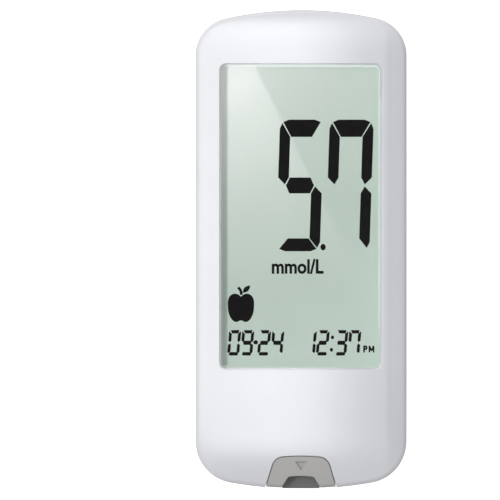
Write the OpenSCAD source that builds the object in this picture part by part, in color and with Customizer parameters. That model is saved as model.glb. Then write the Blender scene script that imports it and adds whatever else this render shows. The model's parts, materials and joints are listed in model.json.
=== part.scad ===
// Hand-held blood glucose meter, lying on its back with the display up.
// Millimetres. X is the width, Y runs from the strip port (-Y) to the upper end (+Y),
// Z is the thickness. The origin is at the middle of the back face.

/* [Case] */
// Width of the case
body_w = 46; // [46:0.5:52]
// Length of the case without the lip of the strip guide
body_l = 104; // [104:0.5:114]
// Thickness of the case
body_h = 16; // [15.6:0.2:18]
// Radius of the arc at the upper end
top_arc_r = 76.7; // [60:0.5:110]
// Radius of the arc at the strip end
bottom_arc_r = 80.4; // [60:0.5:110]
// Corner radius at the upper end
top_corner_r = 7.7; // [7:0.1:9]
// Corner radius at the strip end
bottom_corner_r = 8.3; // [7:0.1:9]
// Thickness of the front case's side wall
wall = 1.6; // [1.4:0.1:1.8]
// Thickness of the front plate around the display
plate_t = 1.6; // [1.4:0.1:1.8]
// Thickness of the back wall
back_t = 1.5; // [1.5:0.1:1.8]
// Depth of the front case, from the front face to the parting line
front_depth = 5.8; // [5.4:0.1:6.2]
// Radius of the front edge
edge_r = 1.6; // [1:0.1:2]
// Fall of the front face towards the long sides
side_drop = 0.9; // [0.5:0.1:1.2]
// Fall of the front face towards the upper end
top_drop = 1.3; // [0.8:0.1:1.6]
// Fall of the front face towards the strip port
bottom_drop = 2.6; // [2:0.1:2.8]
// How far the back case stays inside the front case at the parting line
rear_step = 0.5; // [0.3:0.1:0.7]
// Inward sweep of the back case from the parting line to the back
rear_sweep = 4; // [3:0.1:4.4]
// Height of the locating lip above the parting line
lip_h = 1; // [0.6:0.1:1.4]
// Thickness of the locating lip
lip_t = 0.6; // [0.5:0.1:0.7]

/* [Display] */
// Distance from the case's side to the clear opening
window_side = 5.75; // [5.75:0.05:7]
// Distance from the case's upper end to the clear opening
window_head = 12.25; // [12.25:0.05:13]
// Distance from the case's strip end to the clear opening
window_foot = 26.25; // [26.25:0.25:34]
// Width of the ledge that carries the window
ledge_w = 0.55; // [0.4:0.05:0.6]
// Corner radius of the window
window_r = 1.5; // [1:0.1:3]
// Thickness of the window
lens_t = 1.1; // [0.8:0.1:1.2]
// Depth of the window's face below the front face
lens_recess = 0.9; // [0.6:0.1:1]
// Thickness of the ledge under the window
ledge_t = 1.1; // [0.8:0.1:1.2]
// Thickness of the foam gasket
gasket_t = 0.45; // [0.3:0.05:0.6]
// Thickness of the front polarizer
polarizer_t = 0.2; // [0.15:0.05:0.3]
// Thickness of each display glass
glass_t = 0.7; // [0.55:0.05:0.8]
// Thickness of the reflector behind the display
reflector_t = 0.25; // [0.2:0.05:0.3]
// Border of the display glass beyond the clear opening
glass_border = 1.75; // [1.5:0.05:1.9]
// Length of the front glass's contact ledge
contact_ledge = 2.9; // [2.6:0.1:3.2]
// Width of the elastomer connector
zebra_w = 2; // [1.6:0.1:2.2]
// Rim of the display frame beyond the glass
frame_rim = 1.2; // [1:0.1:1.2]

/* [Circuit board] */
// Gap between the circuit board and the case's outline
pcb_inset = 3.5; // [3.3:0.1:4]
// Thickness of the circuit board
pcb_t = 1; // [0.8:0.1:1.2]
// Room for solder under the circuit board
solder_room = 0.8; // [0.6:0.1:1]
// Radius of the case pillars under the board
pillar_r = 1.5; // [1.3:0.1:1.8]
// Radius of the pillars' locating pins
pillar_pin_r = 0.7; // [0.6:0.05:0.8]

/* [Batteries] */
// Diameter of a coin cell
cell_d = 20; // [20:0.1:20.4]
// Height of a coin cell
cell_h = 3.2; // [3.1:0.1:3.3]
// Gap between the two cells
cell_gap = 0.8; // [0.6:0.1:1.4]
// Middle of the battery bay along Y
bay_y = 4; // [2:0.5:5]
// Thickness of the battery door
door_t = 1.4; // [1.2:0.05:1.45]
// Overlap of the battery door on the bay's walls
door_overlap = 1; // [0.8:0.1:1.2]
// Thickness of the bay's walls
bay_wall = 2; // [1.8:0.1:2.2]
// Thickness of the bay's roof
roof_t = 0.8; // [0.7:0.1:1]
// Room for the leaf contact over a cell
leaf_room = 0.45; // [0.4:0.05:0.6]
// Thickness of the contact strips
strip_t = 0.2; // [0.15:0.05:0.25]

/* [Strip port] */
// Width of the ejector's cover at the case's end
cover_end_w = 15.3; // [14:0.1:15.6]
// Width of the ejector's cover at its inner edge
cover_inner_w = 11.9; // [11:0.1:12.4]
// Length of the ejector's cover
cover_l = 6.75; // [6:0.05:7]
// Corner radius of the ejector's cover
cover_r = 2.2; // [1.5:0.1:2.6]
// Parting gap around the ejector's cover
cover_gap = 0.3; // [0.2:0.05:0.4]
// Thickness of the ejector's cover
cover_t = 1.3; // [1:0.1:1.4]
// How far the ejector's cover lies below the case's surface
cover_sink = 0.15; // [0.1:0.05:0.25]
// Width of the strip mouth at the case's end
mouth_w = 8.4; // [8:0.1:9]
// Width of the strip mouth at its inner end
mouth_inner_w = 5.5; // [5:0.1:6]
// Length of the scoop in the cover
scoop_l = 2.1; // [1.8:0.1:2.3]
// How far the guide's lip stands out of the case
lip_proud = 0.4; // [0.2:0.1:0.5]
// Width of the strip channel
channel_w = 6.6; // [6.2:0.1:7]
// Height of the strip channel
channel_h = 0.9; // [0.8:0.05:1]
// Depth of the channel's floor below the front face
channel_depth = 6.1; // [6:0.05:6.2]
// Travel of the ejector
eject_travel = 3; // [2:0.1:3]
// Side of the pointer moulded into the cover
pointer_w = 2.6; // [2:0.1:3]
// Length of the pointer
pointer_l = 1.95; // [1.5:0.05:2.2]
// Depth of the pointer
pointer_depth = 0.35; // [0.2:0.05:0.5]

/* [Buttons] */
// Length of a side button
button_l = 8; // [7:0.1:9]
// Height of a side button
button_h = 3; // [2.6:0.1:3.2]
// Depth of the buttons' middle below the circuit board
button_drop = 1.9; // [1.9:0.05:2.2]
// How far a button stands out of the case at its middle
button_proud = 0.35; // [0.2:0.05:0.45]
// Travel of a button
button_travel = 0.5; // [0.3:0.05:0.6]
// Place of the up button along Y
up_y = 22; // [20:0.5:23]
// Place of the down button along Y
down_y = 8; // [4:0.5:9]
// Place of the power button along Y
power_y = 15; // [8:0.5:20]

/* [Fasteners] */
// Radius of the case screws
screw_r = 0.9; // [0.8:0.05:1]
// Radius of a screw head
screw_head_r = 1.75; // [1.6:0.05:1.8]
// Height of a screw head
screw_head_h = 1.2; // [1:0.1:1.4]
// Radius of the front case's screw posts
post_r = 1.8; // [1.7:0.05:1.9]
// Height above the back where posts and tubes meet
joint_z = 6.6; // [6:0.1:6.8]
// Distance from the case's side to the upper screws
top_screw_x = 9; // [8.6:0.1:9.4]
// Distance from the case's upper end to the upper screws
top_screw_y = 7; // [6.8:0.05:7]
// Distance from the case's side to the lower screws
bottom_screw_x = 8; // [7.6:0.1:8.4]
// Distance from the case's strip end to the lower screws
bottom_screw_y = 10; // [9.6:0.1:10.2]

/* [Hidden] */
$fn = 48;

lip_root = 1.6; // how far the locating lip reaches down inside the back case

// Clearances
fit = 0.1; // between pieces that are dropped into each other
slide_gap = 0.2; // around pieces that slide
touch = 0.03; // between a contact spring and what it presses on
weld = 0.3; // how far one form of a solid runs into the next
past = 1; // how far a cut runs past a face

// The outline
half_w = body_w / 2;
half_l = body_l / 2;
end_y = -half_l;
parting_z = body_h - front_depth;
corner_steps = 7;
arc_steps = 12;
side_steps = 8;
top_arc_y = half_l - top_arc_r;
bottom_arc_y = bottom_arc_r - half_l;
top_corner = [
    half_w - top_corner_r,
    top_arc_y + sqrt(pow(top_arc_r - top_corner_r, 2) - pow(half_w - top_corner_r, 2))
];
bottom_corner = [
    half_w - bottom_corner_r,
    bottom_arc_y - sqrt(pow(bottom_arc_r - bottom_corner_r, 2) - pow(half_w - bottom_corner_r, 2))
];
top_turn = atan2(top_corner.y - top_arc_y, top_corner.x);
bottom_turn = atan2(bottom_arc_y - bottom_corner.y, bottom_corner.x);

// The display stack, from the front face down
lens_z = body_h - lens_recess - lens_t;
ledge_z = lens_z - ledge_t;
polarizer_z = ledge_z - gasket_t - polarizer_t;
front_glass_z = polarizer_z - glass_t;
rear_glass_z = front_glass_z - glass_t;
reflector_z = rear_glass_z - reflector_t;
window_w = body_w - 2 * window_side;
window_l = body_l - window_head - window_foot;
window_y = (window_foot - window_head) / 2;
opening_r = window_r - ledge_w;
pocket_w = window_w + 2 * ledge_w;
pocket_l = window_l + 2 * ledge_w;
glass_w = window_w + 2 * glass_border;
glass_l = window_l + 2 * glass_border;
polarizer_inset = 0.4;
polarizer_w = glass_w - 2 * polarizer_inset;
polarizer_l = glass_l - 2 * polarizer_inset;
reflector_inset = 0.3;
film_r = 0.5; // corner radius of the gasket and the films
frame_w = glass_w + 2 * frame_rim;
glass_top = window_y + glass_l / 2;
glass_bottom = window_y - glass_l / 2;
frame_top = glass_top + frame_rim;
contact_end = glass_bottom - contact_ledge;
frame_bottom = contact_end - frame_rim;
seat_w = 1.8; // width of the frame's seat under the display's sides
seat_l = 1.1; // width of the frame's seat under the display's ends
component_w = glass_w - 2 * seat_w;
component_l = glass_l - 2 * seat_l;
zebra_inset = 3;
zebra_l = glass_w - 2 * zebra_inset;
zebra_y = glass_bottom - contact_ledge / 2;

// The front face is level inside these lines and falls away outside them
plateau_side = 0.6;
plateau_head = 1.3;
plateau_foot = 1.7;
plateau_x = pocket_w / 2 + plateau_side;
plateau_top = window_y + pocket_l / 2 + plateau_head;
plateau_bottom = window_y - pocket_l / 2 - plateau_foot;

// The battery stack, from the back up
cap_h = 0.35;
cap_inset = 1.2;
cell_lift = 0.25; // from the back wall's inner face to a cell
cell_z = back_t + cell_lift;
roof_z = cell_z + cell_h + leaf_room;
board_z = roof_z + roof_t + solder_room;
board_top = board_z + pcb_t;
cell_pitch = cell_d + cell_gap;
bay_gap_w = 0.5;
bay_gap_l = 0.4;
bay_half_w = cell_d / 2 + bay_gap_w;
bay_half_l = (cell_pitch + cell_d) / 2 + bay_gap_l;
door_half_w = bay_half_w + door_overlap;
door_bottom = bay_y - bay_half_l - door_overlap;
door_top = bay_y + bay_half_l + door_overlap;
door_gap = 0.12;
tab_l = 1.2;
tab_t = 0.8;
tab_w = 5;
tab_root = 1.1;
tab_lift = 0.15;
tab_room = 0.35;
tab_z = back_t + tab_lift;
tab_x = 6;
latch_half_w = 3;
latch_inset = 0.15;
latch_t = 0.75;
latch_h = 2;
latch_start = door_bottom + latch_inset;
latch_top = back_t + latch_h;
door_rib_w = 1;
door_rib_l = 10;
door_rib_x = 4;
groove_count = 4;
groove_w = 8;
groove_t = 0.8;
groove_depth = 0.3;
groove_pitch = 1.6;
groove_start = 3;
leaf_w = 5; // width of the leaf over a cell
leaf_reach = 6; // from the cell's middle to the leaf's tail
side_strip_w = 4; // width of the strip beside a cell
side_bend = 4.5 * strip_t; // from a side strip's bulge to where it leaves the wall
cell_places = [bay_y + cell_pitch / 2, bay_y - cell_pitch / 2];

// The circuit board
board_half_w = half_w - pcb_inset;
board_head = 9; // from the case's upper end to the board
board_foot = 12.8; // from the case's strip end to the board
board_end = half_l - board_head;
board_start = end_y + board_foot;
tongue_half_w = 10.5;
pillar_inset = 4;
pillar_head = 7;
pillar_foot = 6.2;
pillar_x = board_half_w - pillar_inset;
pillar_places = [board_end - pillar_head, board_start + pillar_foot];
peg_r = 0.6;
peg_inset = 1.2;
peg_head = 5;
peg_foot = 12;
peg_x = board_half_w - peg_inset;
peg_places = [board_end - peg_head, frame_bottom + peg_foot];

// Parts on the board
chip_side = 10;
chip_h = 0.9;
chip_y = window_y + 4;
lead_w = 0.3;
lead_pitch = 1;
lead_count = 9;
foot_l = 1;
part_w = 1.6;
part_l = 0.8;
part_h = 0.6;
part_pitch = 5;
small_count = 6;
small_x = -13;
small_start = -18;
tall_w = 1.25;
tall_l = 2;
tall_h = 0.9;
tall_count = 5;
tall_x = 9.5;
tall_start = -14;
driver_w = 5;
driver_l = 4;
driver_x = 12.5;
driver_start = 18;
memory_x = 3;
memory_start = -20;
sensor_gap = 2; // from the strip socket to the thermistor
can_r = 1.1;
can_l = 6.5;
can_inset = 8;
can_gap = 1.2;
can_place = [can_inset - board_half_w, bay_y + bay_half_l + bay_wall + can_gap];

// The strip port
channel_z = body_h - channel_depth;
channel_top = channel_z + channel_h;
guide_recess = 1;
guide_front = end_y + guide_recess;
guide_t = 1.4;
guide_end = guide_front + guide_t;
mouth_r = 0.5;
guide_inset = 0.45; // how far the guide is narrower than the cover, each side
guide_half_w = cover_end_w / 2 - guide_inset;
guide_floor = 1.3;
guide_lift = 0.3; // how far the tunnel's underside lies above the front plate's
guide_roof = 0.6;
guide_z = channel_z - guide_floor;
guide_top = channel_top + guide_roof;
tunnel_wall = 1.3;
tunnel_half_w = channel_w / 2 + tunnel_wall;
connector_inset = 8.3;
connector_start = end_y + connector_inset;
tunnel_start = end_y + cover_sink + cover_t + 1.5 * slide_gap;
tunnel_end = connector_start - slide_gap;
connector_l = 11.1;
connector_end = connector_start + connector_l;
connector_wall = 1.9;
connector_back = 1;
connector_half_w = channel_w / 2 + connector_wall;
connector_top = guide_top;
skirt_gap = 0.15; // from the channel's top up to the cover's skirt
skirt_z = channel_top + skirt_gap;
arm_gap = 0.35;
arm_z = connector_top + arm_gap;
arm_t = 0.85;
arm_half_w = 2.2;
neck_half_w = 4.2;
neck_inset = 4;
neck_l = 6.8;
neck_start = end_y + neck_inset;
neck_end = neck_start + neck_l;
pointer_y = 4.6; // from the case's strip end to the pointer
riser_half_w = 3;
riser_t = 2.2;
riser_sink = 0.6;
lug_half_w = 0.7;
lug_t = 0.8;
lug_room = 0.3;
lug_end = connector_end - connector_back - lug_room;
bar_inset = 12;
bar_start = end_y + bar_inset;
bar_t = 1.4;
bar_half_w = 9.4;
spring_x = 7.9;
spring_r = 0.65;
spring_wire = 0.15;
spring_turns = 6;
turn_steps = 12;
wire_steps = 5;
stop_t = 0.8;
stop_inset = 4.4;
stop_start = end_y + stop_inset;
spring_start = stop_start + stop_t + touch;
spring_end = bar_start - touch;
spring_drop = 0.15; // from the bar's middle down to the springs' axes
spring_z = arm_z + arm_t / 2 - spring_drop;
stop_half_w = 1;
rail_lip = 1;
rail_lip_t = 0.5;
rail_t = 1;
rail_spare = 1;
contact_w = 0.5;
contact_near = 1.45;
contact_far = 2.6;
contact_xs = [-contact_far, -contact_near, contact_near, contact_far];
contact_rise = 0.2; // how far the contacts reach into the channel
contact_tail = 0.5; // how far the contacts' tails stand out behind the socket
contact_crest = 3.6; // from the socket's front to the contacts' highest points
contact_flat = 0.4;
contact_slope = 4.2;
contact_tip = 1.8;

// Buttons and their switches
rear_depth = parting_z;
rear_inner_depth = parting_z - back_t;
rear_wall = 1.5;
guide_face = board_half_w + fit;
button_depth = 6; // longer than the way through the flank
flange_t = 0.7;
flange_lip_y = 0.8;
flange_lip_z = 0.25;
flange_in = guide_face - fit - flange_t;
button_z = board_z - button_drop;
pad_side = 2; // how far a button's pad goes beyond the button along the case
pad_head = 1.2; // and above it
pad_foot = 1.5; // and below it
switch_gap = 0.8;
switch_face = flange_in - switch_gap;
switch_w = 3;
switch_l = 6;
switch_sole = 0.8;
plunger_l = 2.8;
plunger_h = 1.4;
plunger_dip = 0.6;
plunger_in = switch_face - plunger_dip;
switch_z = button_z - plunger_h / 2 - switch_sole;

// The buzzer, its sound holes and the rating label
buzzer_r = 5.5;
buzzer_h = 3;
buzzer_gap = 1.8;
buzzer_port_r = 1;
buzzer_place = [0, bay_y + bay_half_l + bay_wall + buzzer_gap + buzzer_r];
sound_hole_r = 0.6;
sound_hole_pitch = 2.4;
label_w = 30;
label_r = 1;
label_head = 5; // from the battery door to the label
label_foot = 3.2; // from the lower screws' middles to the label
label_end = door_bottom - label_head;
label_start = end_y + bottom_screw_y + label_foot;
label_l = label_end - label_start;
label_y = (label_end + label_start) / 2;
label_t = 0.12;
label_sink = 0.15;

// Screws
top_screws = [[half_w - top_screw_x, half_l - top_screw_y], [top_screw_x - half_w, half_l - top_screw_y]];
bottom_screws = [
    [half_w - bottom_screw_x, bottom_screw_y - half_l], [bottom_screw_x - half_w, bottom_screw_y - half_l]
];
screws = concat(top_screws, bottom_screws);
head_z = 1.1;
head_gap = 0.15;
shank_gap = 0.2;
thread_gap = 0.05;
tube_wall = 1;
tube_r = post_r + tube_wall;
pilot_depth = 5.6;
tip_room = 0.8;
slot_w = 0.35;
slot_l = 2;
slot_depth = 1;

// Points along an arc, without the first and the last few where skip is above 0
function arc(centre, r, from, to, steps, skip = 0) = [
    for (i = [skip:steps - skip]) let (a = from + (to - from) * i / steps) centre + r * [cos(a), sin(a)]
];

// The case's outline, moved in by d, from the right side's upper end, anticlockwise
function outline(d) = concat(
    arc(top_corner, top_corner_r - d, 0, top_turn, corner_steps),
    arc([0, top_arc_y], top_arc_r - d, top_turn, 180 - top_turn, arc_steps, 1),
    arc([-top_corner.x, top_corner.y], top_corner_r - d, 180 - top_turn, 180, corner_steps),
    side_points(d, -1, top_corner.y, bottom_corner.y),
    arc([-bottom_corner.x, bottom_corner.y], bottom_corner_r - d, 180, 180 + bottom_turn, corner_steps),
    arc([0, bottom_arc_y], bottom_arc_r - d, 180 + bottom_turn, 360 - bottom_turn, arc_steps, 1),
    arc(bottom_corner, bottom_corner_r - d, 360 - bottom_turn, 360, corner_steps),
    side_points(d, 1, bottom_corner.y, top_corner.y)
);

// Points between the corners of one long side
function side_points(d, side, from, to) = [
    for (i = [1:side_steps - 1]) [side * (half_w - d), from + (to - from) * i / side_steps]
];

// Height of the front face over a point
function front_z(p) = body_h
    - side_drop * pow(max(0, abs(p.x) - plateau_x) / (half_w - plateau_x), 2)
    - top_drop * pow(max(0, p.y - plateau_top) / (half_l - plateau_top), 2)
    - bottom_drop * pow(max(0, plateau_bottom - p.y) / (half_l + plateau_bottom), 2);

// The outline shrunk into the level part of the front face
function level_point(p) = let (
    middle = (plateau_top + plateau_bottom) / 2,
    reach = p.y > middle ? half_l - middle : half_l + middle
) [p.x * plateau_x / half_w, middle + (p.y - middle) * (plateau_top - middle) / reach];

function at_height(points, z) = [for (p = points) [p.x, p.y, z]];
function under_face(points, down) = [for (p = points) [p.x, p.y, front_z(p) - down]];
function between(a, b, t) = [for (i = [0:len(a) - 1]) a[i] + t * (b[i] - a[i])];

// Rings of the front case's form, moved in by d and down by drop, from the height low up
function front_rings(d, drop, low) = let (
    r = max(edge_r - d, 0.3),
    round_steps = 6,
    face_steps = 5,
    inner = [for (p = outline(0)) level_point(p)]
) concat(
    [at_height(outline(d), low)],
    [for (i = [0:round_steps]) let (a = 90 * i / round_steps)
        under_face(outline(d + r * (1 - cos(a))), drop + r * (1 - sin(a)))],
    [for (i = [1:face_steps]) under_face(between(outline(d + r), inner, i / face_steps), drop)]
);

// Rings of the back case's form, from its lowest level up to the parting line
function rear_rings(d, depth, over) = let (steps = 8) concat(
    [for (i = [steps:-1:0]) let (a = 90 * i / steps)
        at_height(outline(d + rear_sweep * (1 - cos(a))), parting_z - depth * sin(a))],
    over > 0 ? [at_height(outline(d), parting_z + over)] : []
);

function middle_of(points) = [for (k = [0:2]) let (values = [for (p = points) p[k]])
    (min(values) + max(values)) / 2];

// A closed solid through rings of equally many points, each end a fan about its middle
module loft(rings) {
    n = len(rings[0]);
    last = len(rings) - 1;
    first_middle = n * (last + 1);
    last_middle = first_middle + 1;
    polyhedron(
        points = [for (ring = rings) each ring, middle_of(rings[0]), middle_of(rings[last])],
        faces = [
            for (i = [0:n - 1]) let (j = (i + 1) % n) each concat(
                [[first_middle, i, j], [last_middle, last * n + j, last * n + i]],
                [for (k = [0:last - 1]) [k * n + i, (k + 1) * n + i, k * n + j]],
                [for (k = [0:last - 1]) [(k + 1) * n + i, (k + 1) * n + j, k * n + j]]
            )
        ]
    );
}

// The fillet that replaces corner b of a polygon a, b, c
function corner_arc(a, b, c, r, steps) = let (
    u = (a - b) / norm(a - b),
    v = (c - b) / norm(c - b),
    half = acos(u * v) / 2,
    centre = b + (u + v) / norm(u + v) * r / sin(half),
    start = b + u * r / tan(half) - centre,
    from = atan2(start.y, start.x)
) arc(centre, r, from, from + sign(cross(b - a, c - b)) * (180 - 2 * half), steps);

// A strip of thickness t along a line of points, as one outline
function ribbon(points, t) = let (
    n = len(points),
    along = [for (i = [0:n - 2]) (points[i + 1] - points[i]) / norm(points[i + 1] - points[i])],
    side = [for (i = [0:n - 1]) let (
        a = along[max(0, i - 1)], b = along[min(n - 2, i)], m = (a + b) / norm(a + b)
    ) [-m.y, m.x] / max(0.5, m * b)]
) concat(
    [for (i = [0:n - 1]) points[i] + side[i] * t / 2],
    [for (i = [n - 1:-1:0]) points[i] - side[i] * t / 2]
);

module box(from, to) {
    translate(from) cube(to - from);
}

// Mirrors its children to the left for side = -1
module on_side(side) {
    mirror([side < 0 ? 1 : 0, 0, 0]) children();
}

// A plate with rounded corners, centred in X and Y
module rounded_plate(w, l, r, h) {
    linear_extrude(h) {
        square([w - 2 * r, l], center = true);
        square([w, l - 2 * r], center = true);
        for (x = [-1, 1], y = [-1, 1]) translate([x * (w / 2 - r), y * (l / 2 - r)]) circle(r);
    }
}

// A bar with round ends, standing along X from 0 to t, with its length along Y
module round_bar(l, h, t) {
    rotate([90, 0, 90]) linear_extrude(t) {
        square([l - h, h], center = true);
        for (y = [-1, 1]) translate([y * (l - h) / 2, 0]) circle(h / 2);
    }
}

// The outline of the ejector's cover, grown by g on its three inner sides
function cover_outline(g) = let (
    end = cover_end_w / 2 + g,
    slope = (cover_end_w - cover_inner_w) / 2 / cover_l,
    inner = cover_inner_w / 2 + g - slope * g,
    top = end_y + cover_l + g,
    r = cover_r + g,
    beyond = 2
) concat(
    [[-end - slope * beyond, end_y - beyond], [end + slope * beyond, end_y - beyond]],
    corner_arc([end, end_y], [inner, top], [-inner, top], r, corner_steps),
    corner_arc([inner, top], [-inner, top], [-end, end_y], r, corner_steps)
);

// The scoop in the cover over the strip mouth
module scoop() {
    inner = mouth_inner_w / 2;
    outer = mouth_w / 2;
    top = end_y + scoop_l;
    beyond = 2;
    slope = (outer - inner) / scoop_l;
    translate([0, 0, guide_z]) linear_extrude(body_h) polygon(concat(
        [[-outer - slope * beyond, end_y - beyond], [outer + slope * beyond, end_y - beyond]],
        corner_arc([outer, end_y], [inner, top], [-inner, top], mouth_r, corner_steps),
        corner_arc([inner, top], [-inner, top], [-outer, end_y], mouth_r, corner_steps)
    ));
}

module front_shell() {
    rib = 1.4;
    color([0.93, 0.93, 0.95]) difference() {
        union() {
            difference() {
                loft(front_rings(0, 0, parting_z));
                loft(front_rings(wall, plate_t, parting_z - past));
            }
            translate([0, window_y, ledge_z])
                rounded_plate(pocket_w + 2 * rib, pocket_l + 2 * rib, window_r, ledge_t + 2 * weld);
            for (p = screws) translate([p.x, p.y, joint_z])
                cylinder(r = post_r, h = front_z(p) - plate_t + weld - joint_z);
            ejector_rails();
        }
        translate([0, window_y, ledge_z - past]) rounded_plate(window_w, window_l, opening_r, body_h);
        translate([0, window_y, lens_z]) rounded_plate(pocket_w, pocket_l, window_r, body_h);
        translate([0, 0, parting_z - past]) linear_extrude(body_h) polygon(cover_outline(cover_gap));
        for (p = screws) translate([p.x, p.y, joint_z - past])
            cylinder(r = screw_r + thread_gap, h = pilot_depth + past);
    }
}

// Rails that hold the ejector's bar, and the stops of its springs
module ejector_rails() {
    low = arm_z - slide_gap - rail_lip_t;
    rail_x = bar_half_w + slide_gap;
    rail_start = bar_start - eject_travel - rail_spare;
    rail_end = bar_start + bar_t + rail_spare;
    rail_top = front_z([rail_x, rail_start]) - plate_t + weld;
    stop_top = front_z([spring_x, stop_start]) - plate_t + weld;
    for (side = [-1, 1]) on_side(side) {
        box([rail_x, rail_start, low], [rail_x + rail_t, rail_end, rail_top]);
        box([rail_x - rail_lip, rail_start, low], [rail_x + rail_t / 2, rail_end, arm_z - slide_gap]);
        box(
            [spring_x - stop_half_w, stop_start, low],
            [spring_x + stop_half_w, stop_start + stop_t, stop_top]
        );
    }
}

module rear_shell() {
    color([0.9, 0.9, 0.92]) difference() {
        union() {
            difference() {
                loft(rear_rings(rear_step, rear_depth, 0));
                loft(rear_rings(rear_step + rear_wall, rear_inner_depth, past));
            }
            locating_lip();
            battery_bay();
            intersection() {
                loft(rear_rings(rear_step + rear_wall / 2, rear_depth - back_t / 2, 0));
                union() {
                    for (p = screws) translate([p.x, p.y, 0]) cylinder(r = tube_r, h = joint_z);
                    button_pad(1, up_y);
                    button_pad(1, down_y);
                    button_pad(-1, power_y);
                }
            }
            for (x = [-pillar_x, pillar_x], y = pillar_places) translate([x, y, back_t - weld]) {
                cylinder(r = pillar_r, h = board_z - back_t + weld);
                cylinder(r = pillar_pin_r, h = board_top - fit - back_t + weld);
            }
        }
        battery_opening();
        for (p = screws) translate([p.x, p.y, -past]) {
            cylinder(r = screw_head_r + head_gap, h = head_z + screw_head_h + past);
            cylinder(r = screw_r + shank_gap, h = body_h);
        }
        box([-guide_half_w - fit, end_y - past, guide_z], [guide_half_w + fit, guide_end + past, body_h]);
        button_hole(1, up_y);
        button_hole(1, down_y);
        button_hole(-1, power_y);
        for (i = [-1:1]) translate([i * sound_hole_pitch, buzzer_place.y, -past])
            cylinder(r = sound_hole_r, h = back_t + 2 * past);
        translate([0, label_y, -past])
            rounded_plate(label_w + 2 * fit, label_l + 2 * fit, label_r + fit, past + label_sink);
    }
}

// The lip that centres the front case on the back case
module locating_lip() {
    translate([0, 0, parting_z - lip_root]) linear_extrude(lip_root + lip_h) difference() {
        polygon(outline(wall + fit));
        polygon(outline(wall + fit + lip_t));
    }
}

// Walls and roof around the two cells
module battery_bay() {
    w = bay_half_w + bay_wall;
    l = bay_half_l + bay_wall;
    slot_low = roof_z - past;
    slot_high = roof_z + roof_t + past;
    difference() {
        box([-w, bay_y - l, back_t - weld], [w, bay_y + l, roof_z + roof_t]);
        box([-bay_half_w, bay_y - bay_half_l, 0], [bay_half_w, bay_y + bay_half_l, roof_z]);
        for (y = cell_places) {
            box(
                [-leaf_w / 2 - slide_gap, y + leaf_reach - strip_t - slide_gap, slot_low],
                [leaf_w / 2 + slide_gap, y + leaf_reach + strip_t + slide_gap, slot_high]
            );
            for (side = [-1, 1]) on_side(side) box(
                [bay_half_w - 2 * strip_t, y - side_strip_w / 2 - slide_gap, slot_low],
                [bay_half_w, y + side_strip_w / 2 + slide_gap, slot_high]
            );
        }
    }
}

// What the battery door and its tabs leave open in the back
module battery_opening() {
    w = door_half_w + door_gap;
    low = door_t;
    latch_w = latch_half_w + slide_gap;
    box([-w, door_bottom - door_gap, -past], [w, door_top + door_gap, door_t + fit]);
    box([-bay_half_w, bay_y - bay_half_l, -past], [bay_half_w, bay_y + bay_half_l, back_t + past]);
    for (x = [-tab_x, tab_x]) box(
        [x - tab_w / 2 - fit, door_top - tab_root - 2.5 * slide_gap, low],
        [x + tab_w / 2 + fit, door_top + tab_l + 1.5 * slide_gap, tab_z + tab_t + tab_room]
    );
    box(
        [-latch_w, door_bottom - door_gap, low],
        [latch_w, door_bottom + door_overlap + fit, latch_top + slide_gap]
    );
}

// A level face inside the back case that a button's flange rests on
module button_pad(side, y) {
    reach = button_l / 2 + pad_side;
    on_side(side) box(
        [guide_face, y - reach, button_z - button_h / 2 - pad_foot],
        [half_w, y + reach, button_z + button_h / 2 + pad_head]
    );
}

// The hole for a button, with room behind it for the button's flange
module button_hole(side, y) {
    room_y = button_l / 2 + flange_lip_y + fit;
    room_z = button_h / 2 + flange_lip_z + fit;
    on_side(side) {
        translate([guide_face - past, y, button_z])
            round_bar(button_l + 2 * fit, button_h + 2 * fit, button_depth);
        box([guide_face - past, y - room_y, button_z - room_z], [guide_face, y + room_y, button_z + room_z]);
    }
}

module display_window() {
    color([0.85, 0.9, 0.88, 0.35]) translate([0, window_y, lens_z])
        rounded_plate(pocket_w - fit, pocket_l - fit, window_r - fit / 2, lens_t);
}

module display_gasket() {
    color([0.15, 0.15, 0.16]) translate([0, window_y, ledge_z - gasket_t]) difference() {
        rounded_plate(polarizer_w, polarizer_l, film_r, gasket_t);
        translate([0, 0, -past])
            rounded_plate(window_w + slide_gap, window_l + slide_gap, film_r, gasket_t + 2 * past);
    }
}

module front_polarizer() {
    color([0.72, 0.78, 0.73]) translate([0, window_y, polarizer_z])
        rounded_plate(polarizer_w, polarizer_l, film_r, polarizer_t);
}

module lcd_front_glass() {
    color([0.75, 0.82, 0.78, 0.5])
        box([-glass_w / 2, contact_end, front_glass_z], [glass_w / 2, glass_top, polarizer_z]);
}

module lcd_rear_glass() {
    color([0.72, 0.8, 0.76, 0.5])
        box([-glass_w / 2, glass_bottom, rear_glass_z], [glass_w / 2, glass_top, front_glass_z]);
}

module lcd_reflector() {
    color([0.72, 0.78, 0.73]) translate([0, window_y, reflector_z])
        rounded_plate(glass_w - 2 * reflector_inset, glass_l - 2 * reflector_inset, film_r, reflector_t);
}

module lcd_frame() {
    hw = glass_w / 2 + fit;
    color([0.85, 0.85, 0.84]) {
        difference() {
            box([-frame_w / 2, frame_bottom, board_top], [frame_w / 2, frame_top, polarizer_z]);
            box([-hw, glass_bottom - fit, reflector_z], [hw, glass_top + fit, body_h]);
            box([-hw, contact_end - fit, front_glass_z], [hw, glass_top + fit, body_h]);
            translate([0, window_y, board_top - past])
                rounded_plate(component_w, component_l, 2 * film_r, body_h);
            box(
                [-zebra_l / 2 - fit, zebra_y - zebra_w / 2 - fit, 0],
                [zebra_l / 2 + fit, zebra_y + zebra_w / 2 + fit, body_h]
            );
        }
        for (x = [-peg_x, peg_x], y = peg_places) translate([x, y, board_z + slide_gap])
            cylinder(r = peg_r, h = pcb_t - slide_gap + weld);
    }
}

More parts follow.
